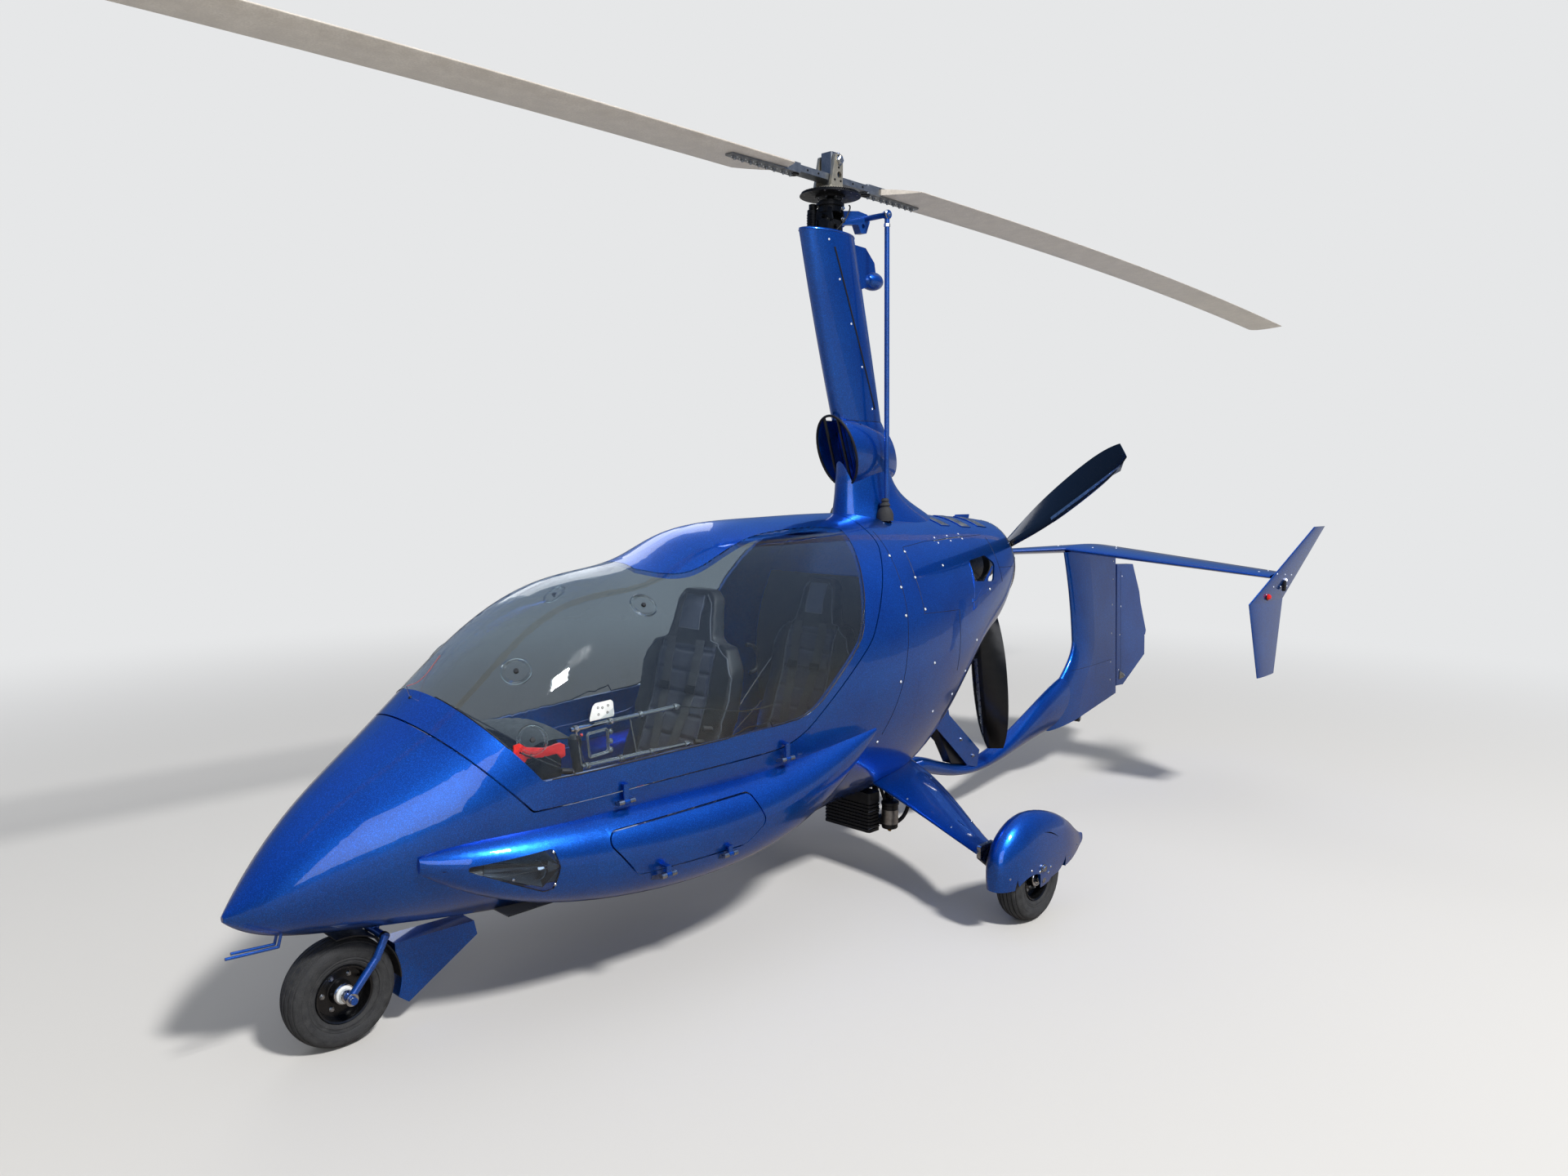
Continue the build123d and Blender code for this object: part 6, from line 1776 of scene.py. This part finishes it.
@dataclass
class Tail:
    """Strobes, navigation lamps, seam lines, screws and roller bolts of the tail."""

    fins: tuple[str, ...] = ("end_fins", "stabiliser", "tail_boom")

    def build(self) -> None:
        """Build the tail's details."""
        hide = Hide(*self.fins)
        parts = Form("tail_details")
        for side in SIDES:
            lamp = hide.hit((side * 0.985, 3.0, 1.090), AHEAD)[0]
            parts.block((0.016, 0.052, 0.020), Skin.SATIN_BLACK, aimed(lamp - Vector((0, 0.004, 0.026)),
                                                                     AFT), 0.003)
            parts.turned([(0, 0.0), (0.0095, 0.0), (0.0095, 0.010), (0.007, 0.016), (0, 0.018)],
                         Skin.LAMP_WHITE, aimed(lamp + Vector((0, 0.012, 0)), AFT), 20)
            nav = hide.hit((side * 1.4, 2.060, 1.02), (-side, 0, 0))[0]
            lens = Skin.LAMP_RED if side == PORT else Skin.LAMP_GREEN
            parts.turned([(0, 0.0), (0.012, 0.0), (0.014, 0.003), (0.012, 0.012), (0.006, 0.018), (0, 0.019)],
                         lens, aimed(nav, (side, 0, 0)), 20)
            parts.ring(nav, (side, 0, 0), 0.018, 0.012, 0.004, Skin.SATIN_BLACK, 24)
            for y, z in ((2.10, 1.128), (2.20, 1.120), (2.30, 1.112), (2.10, 1.066), (2.20, 1.060),
                         (2.30, 1.056)):
                parts.screw(*hide.hit((side * 1.4, y, z), (-side, 0, 0)), 0.0042, Skin.NYLON_SCREW)
            for x, y in ((0.90, 2.12), (0.90, 2.24), (0.10, 1.98), (0.10, 2.24), (0.16, 2.12)):
                parts.screw(*hide.hit((side * x, y, 2.0), DOWN), 0.0045, Skin.NYLON_SCREW)
            line = [hide.hit((side * (0.06 + 0.045 * s), 2.290 - 0.0008 * s, 2.0), DOWN)[0]
                    for s in range(20)]
            parts.wire(line, 0.0008, Skin.SEAM)
            for level in (0.46, 0.56, 0.72, 0.88, 1.02, 1.12):
                parts.screw(*hide.hit((side * 0.4, 2.365, level), (-side, 0, 0)), 0.0042, Skin.NYLON_SCREW)
            joint = [hide.hit((side * 0.4, 1.90 + 0.028 * s, 0.560 + 0.0008 * s), (-side, 0, 0))[0]
                     for s in range(18)]
            parts.wire(joint, 0.0008, Skin.SEAM)
        roller = Vector((0, 2.056, 0.285))
        for side in SIDES:
            parts.hexagon(roller + Vector((side * 0.016, 0, 0)), (side, 0, 0), 0.012, 0.006, Skin.STEEL)
            parts.ring(roller + Vector((side * 0.0155, 0, 0)), (side, 0, 0), 0.0150, 0.007, 0.002,
                       Skin.RUBBER, 24)
        parts.publish("airframe")
        self.rudder()

    def rudder(self) -> None:
        """Seams, tab pins and horn of the rudder."""
        hide = Hide("rudder")
        parts = Form("rudder_details")
        for side in SIDES:
            for level in (0.50, 0.70, 0.86, 1.03):
                parts.screw(*hide.hit((side * 0.4, 2.480, level), (-side, 0, 0)), 0.0040, Skin.NYLON_SCREW)
            line = [hide.hit((side * 0.4, 2.510 - 0.065 * (0.46 + 0.03 * s - 0.46) / 0.77, 0.46 + 0.03 * s),
                             (-side, 0, 0))[0] for s in range(21)]
            parts.wire(line, 0.0008, Skin.SEAM)
            for y, z in ((2.668, 1.000), (2.740, 0.850), (2.800, 0.715)):
                parts.hexagon((side * 0.003, y, z), (side, 0, 0), 0.006, 0.003, Skin.STEEL)
        horn = Matrix(((0, 0, 1, 0.020), (1, 0, 0, 2.490), (0, 1, 0, 0.445), (0, 0, 0, 1)))
        parts.plate([(0, 0), (0.060, 0.006), (0.064, 0.016), (0.058, 0.024), (0, 0.050)], 0.003,
                    Skin.STEEL, horn, 0.0006)
        parts.hexagon(horn @ Vector((0.054, 0.015, 0.003)), ABEAM, 0.007, 0.004, Skin.POLISHED)
        parts.publish("rudder")


@dataclass
class EngineBay:
    """What shows of the engine through the cowl's open end, and the cooler below."""

    thrust: float = 1.167

    def build(self) -> None:
        """Build the engine's dress and the cooler's fittings."""
        self.engine()
        self.cooler()
        self.keel()

    def engine(self) -> None:
        """Gearbox cover, cylinders with fins, rocker covers, pipes and leads."""
        parts = Form("engine_dress")
        face = aimed((0, 0.990, self.thrust), AFT)
        parts.turned([(0.0185, 0.0), (0.079, 0.0), (0.079, 0.010), (0.070, 0.014), (0.046, 0.015),
                      (0.040, 0.030), (0.026, 0.034), (0.0185, 0.034)], Skin.CAST, face, 48, ring=True)
        parts.bolts(face, AFT, 8, 0.062, 0.010, 0.006, Skin.STEEL, 0.013)
        for side in SIDES:
            for y in (0.420, 0.610):
                start = Vector((side * 0.198, y, 1.010))
                for fin in range(7):
                    place = across(side, 0.199 + 0.0085 * fin, y, 1.010)
                    parts.block((0.120, 0.120, 0.003), Skin.CAST, place, 0.001)
                parts.turned([(0, 0.0), (0.050, 0.0), (0.050, 0.060), (0, 0.060)], Skin.CAST,
                             aimed(start, (side, 0, 0)), 32)
                cover = across(side, 0.258, y, 1.010)
                parts.block((0.105, 0.105, 0.022), Skin.SATIN_BLACK, cover, 0.006)
                for px, py in ((-0.040, -0.040), (0.040, -0.040), (-0.040, 0.040), (0.040, 0.040)):
                    parts.hexagon(cover @ Vector((px, py, 0.022)), (side, 0, 0), 0.009, 0.005, Skin.STEEL)
                parts.wire([(side * 0.222, y, 0.962), (side * 0.216, y, 0.905),
                            (side * 0.150, y + 0.05, 0.850), (side * 0.085, y + 0.15, 0.842)], 0.017,
                           Skin.EXHAUST, smooth=True)
                parts.wire([(side * 0.228, y + 0.030, 1.062), (side * 0.200, y + 0.045, 1.130),
                            (side * 0.110, y + 0.06, 1.190), (side * 0.060, 0.560, 1.196)], 0.0045,
                           Skin.HOSE, smooth=True)
        silencer = aimed((-0.120, 0.800, 0.872), ABEAM)
        parts.turned([(0, 0.0), (0.044, 0.0), (0.050, 0.006), (0.050, 0.234), (0.044, 0.240), (0, 0.240)],
                     Skin.EXHAUST, silencer, 40)
        parts.wire([(0.060, 0.840, 0.872), (0.100, 0.900, 0.880), (0.118, 0.960, 0.930)], 0.016,
                   Skin.EXHAUST, smooth=True)
        for x in (-0.055, 0.055):
            parts.block((0.070, 0.100, 0.050), Skin.SATIN_BLACK, Matrix.Translation((x, 0.50, 1.161)), 0.008)
            parts.wire([(x, 0.560, 1.196), (x * 1.4, 0.66, 1.235), (x * 1.8, 0.74, 1.225)], 0.020,
                       Skin.HOSE, smooth=True)
        parts.publish("airframe")

    def cooler(self) -> None:
        """Canister with its band, the looped hose and the drain fittings under the belly."""
        parts = Form("cooler_fittings")
        can = aimed((0.205, 0.175, 0.158), UP)
        parts.turned([(0, 0.0), (0.030, 0.0), (0.033, 0.004), (0.033, 0.094), (0.036, 0.098), (0.036, 0.108),
                      (0.026, 0.116), (0, 0.118)], Skin.SATIN_BLACK, can, 36)
        parts.ring((0.205, 0.175, 0.178), UP, 0.0342, 0.032, 0.058, Skin.BRUSHED, 36)
        parts.turned([(0, -0.014), (0.006, -0.014), (0.008, -0.010), (0.008, 0.0), (0, 0.0)], Skin.BRASS,
                     can, 14)
        parts.bar((0.195, 0.160, 0.262), (0.170, 0.150, 0.330), 0.007, Skin.BLACK_STEEL, 12)
        for level in (0.166, 0.236):
            parts.wire([(0.176, 0.075, level), (0.176, 0.145, level)], 0.0022, Skin.STEEL)
        parts.publish("airframe")
        hose = Form("cooler_hose")
        hose.wire([(0.205, 0.180, 0.270), (0.206, 0.190, 0.312), (0.214, 0.226, 0.330),
                   (0.226, 0.262, 0.296), (0.228, 0.272, 0.236), (0.216, 0.246, 0.180),
                   (0.190, 0.204, 0.160), (0.165, 0.160, 0.172), (0.150, 0.146, 0.185)], 0.0085,
                  Skin.HOSE, smooth=True)
        hose.publish("airframe")

    def keel(self) -> None:
        """Bolts of the keel braces and cables along the channel."""
        parts = Form("keel_details")
        for side in SIDES:
            for y, z in ((0.690, 0.680), (0.745, 0.520), (0.900, 0.372), (1.000, 0.278)):
                parts.hexagon((side * 0.045, y, z), (side, 0, 0), 0.012, 0.006, Skin.STEEL)
            parts.wire([(side * 0.016, y, z) for y, z in ((0.655, 0.664), (0.800, 0.500), (1.010, 0.286))],
                       0.0028, Skin.STEEL, smooth=True)
        parts.publish("airframe")


@dataclass
class Studio:
    """Pale floor, soft lamps and the photograph's camera."""

    eye: tuple[float, float, float] = (2.889, -3.280, 1.564)
    yaw: float = 43.55
    pitch: float = 5.71
    roll: float = 0.44
    lens: float = 25.354
    floor_half: float = 60.0
    floor_colour: str = "CFCCC7"
    # painted reflection: the darker brown that glossy rays see in the floor
    floor_mirrored: str = "8C8176"
    backdrop: str = "E6E7E8"
    fade: tuple[float, float] = (3.0, 8.5)
    mirror: float = 0.5         # of the far floor's brightness that polished pieces mirror
    air: float = 0.5

    def camera(self) -> None:
        """Stand the camera where the photograph was taken from."""
        yaw, pitch, roll = (math.radians(v) for v in (self.yaw, self.pitch, self.roll))
        forward = Vector((-math.sin(yaw) * math.cos(pitch), math.cos(yaw) * math.cos(pitch),
                          -math.sin(pitch)))
        right = forward.cross(Vector(UP)).normalized()
        up = right.cross(forward)
        right_2 = right * math.cos(roll) + up * math.sin(roll)
        up_2 = up * math.cos(roll) - right * math.sin(roll)
        data = bpy.data.cameras.new("photo_camera")
        data.sensor_fit = "HORIZONTAL"
        data.sensor_width = 36.0
        data.lens = self.lens
        data.clip_start, data.clip_end = 0.05, 200.0
        camera = bpy.data.objects.new("photo_camera", data)
        bpy.context.scene.collection.objects.link(camera)
        turn = Matrix((right_2, up_2, -forward)).transposed()
        camera.matrix_world = Matrix.Translation(self.eye) @ turn.to_4x4()
        bpy.context.scene.camera = camera

    def floor(self) -> None:
        """Lay the pale floor, which fades into the backdrop far off; glossy rays see it darker and browner, a
        painted reflection.
        """
        mesh = bpy.data.meshes.new("floor")
        shape = bmesh.new()
        bmesh.ops.create_grid(shape, x_segments=1, y_segments=1, size=self.floor_half)
        shape.to_mesh(mesh)
        shape.free()
        floor = bpy.data.objects.new("floor", mesh)
        bpy.context.scene.collection.objects.link(floor)
        material = bpy.data.materials.new("pale_floor")
        material.use_nodes = True
        tree = material.node_tree
        tree.nodes.clear()
        path = add_node(tree, "ShaderNodeLightPath")
        # painted reflection: polished pieces see the floor darker and browner than it is, and the far floor
        # dimmer
        floor_with_painted_reflection = colour_ramp(tree, path.outputs["Is Glossy Ray"],
                             [(0.0, self.floor_colour), (1.0, self.floor_mirrored)])
        shader = add_node(tree, "ShaderNodeBsdfPrincipled", {"Base Color": floor_with_painted_reflection, "Roughness": 0.9})
        place = add_node(tree, "ShaderNodeTexCoord")
        far = add_node(tree, "ShaderNodeVectorMath", {0: place.outputs["Object"]}, operation="LENGTH")
        fade = add_node(tree, "ShaderNodeMapRange",
                        {"Value": far.outputs["Value"], "From Min": self.fade[0], "From Max": self.fade[1]},
                        interpolation_type="SMOOTHSTEP")
        level = add_node(tree, "ShaderNodeMapRange", {"Value": path.outputs["Is Glossy Ray"],
                                                      "To Min": 1.0, "To Max": self.mirror})
        back = add_node(tree, "ShaderNodeEmission",
                        {"Color": linear(self.backdrop), "Strength": level.outputs[0]})
        mix = add_node(tree, "ShaderNodeMixShader",
                       {0: fade.outputs[0], 1: shader.outputs[0], 2: back.outputs[0]})
        add_node(tree, "ShaderNodeOutputMaterial", {"Surface": mix.outputs[0]})
        mesh.materials.append(material)

    def world(self) -> None:
        """Surround the scene with a pale light, darker below, and a pale backdrop; glossy rays see a blue
        dome instead, a painted reflection.
        """
        world = bpy.data.worlds.new("studio_air")
        bpy.context.scene.world = world
        world.use_nodes = True
        tree = world.node_tree
        tree.nodes.clear()
        place = add_node(tree, "ShaderNodeTexCoord")
        split = add_node(tree, "ShaderNodeSeparateXYZ", {"Vector": place.outputs["Generated"]})
        shade = colour_ramp(tree, split.outputs["Z"],
                            [(0.0, "8E8C89"), (0.5, "C9CED6"), (1.0, "E6ECF4")])
        air = add_node(tree, "ShaderNodeBackground", {"Color": shade, "Strength": self.air})
        # painted reflection: a blue sky dome that only glossy rays see
        painted_sky_reflection = colour_ramp(tree, split.outputs["Z"],
                          [(0.0, "7A7E84"), (0.12, "4F6690"), (0.5, "5480C2"), (1.0, "86ACE6")])
        mirrored = add_node(tree, "ShaderNodeBackground", {"Color": painted_sky_reflection, "Strength": 1.0})
        wall = add_node(tree, "ShaderNodeBackground", {"Color": linear(self.backdrop), "Strength": 1.0})
        path = add_node(tree, "ShaderNodeLightPath")
        seen = add_node(tree, "ShaderNodeMath",
                        {0: path.outputs["Is Camera Ray"], 1: path.outputs["Is Transmission Ray"]},
                        operation="MAXIMUM")
        gloss = add_node(tree, "ShaderNodeMixShader",
                         {0: path.outputs["Is Glossy Ray"], 1: air.outputs[0], 2: mirrored.outputs[0]})
        mix = add_node(tree, "ShaderNodeMixShader",
                       {0: seen.outputs[0], 1: gloss.outputs[0], 2: wall.outputs[0]})
        add_node(tree, "ShaderNodeOutputWorld", {"Surface": mix.outputs[0]})

    def lamp(self, name: str, place: tuple[float, float, float],
             target: tuple[float, float, float], size: float, power: float) -> None:
        """Hang a soft lamp.

        Args:
            name: the lamp's name.
            place: where it hangs.
            target: what it points at.
            size: side of its square face in metres.
            power: watts.
        """
        data = bpy.data.lights.new(name, "AREA")
        data.shape = "SQUARE"
        data.size = size
        data.energy = power
        lamp = bpy.data.objects.new(name, data)
        bpy.context.scene.collection.objects.link(lamp)
        aim = (Vector(target) - Vector(place)).to_track_quat("-Z", "Y")
        lamp.matrix_world = Matrix.Translation(place) @ aim.to_matrix().to_4x4()

    def build(self) -> None:
        """Build the whole studio."""
        self.camera()
        self.floor()
        self.world()
        self.lamp("key_port", (12.0, -1.1, 13.6), (0, 0, 0.8), 2.0, 3400)
        self.lamp("front_fill", (11.0, -9.0, 5.2), (0, -0.5, 0.8), 7.0, 290)
        self.lamp("far_fill", (-11.0, 5.5, 8.5), (0, 0, 0.8), 7.0, 220)
        bpy.context.scene.view_settings.view_transform = "Standard"


def main() -> None:
    """Build the studio and every piece, in order."""
    logging.basicConfig(level=logging.INFO, format="%(message)s")
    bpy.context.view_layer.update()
    dress_nodes()
    for wheel in (
        Wheel("nose", "nose_wheel", "nose_tyre", (0.0, -2.008, 0.152), 0.152, 0.104),
        Wheel("main_port", "wheel_port", "main_tyre_port", (0.890, 0.100, 0.155), 0.155, 0.100),
        Wheel("main_starboard", "wheel_starboard", "main_tyre_starboard", (-0.890, 0.100, 0.155),
              0.155, 0.100),
    ):
        wheel.build()
    for assembly in (NoseGear(), MainGear(), RotorHead(), Propeller(), BodySkin(), Canopy(),
                     BucketSeat("front_seat", "seat_front", -0.130, 1.0),
                     BucketSeat("rear_seat", "seat_rear", 0.520, 0.86), Cockpit(), Tail(), EngineBay()):
        LOG.info("building %s", type(assembly).__name__)
        assembly.build()
    Studio().build()


if __name__ == "__main__":
    main()
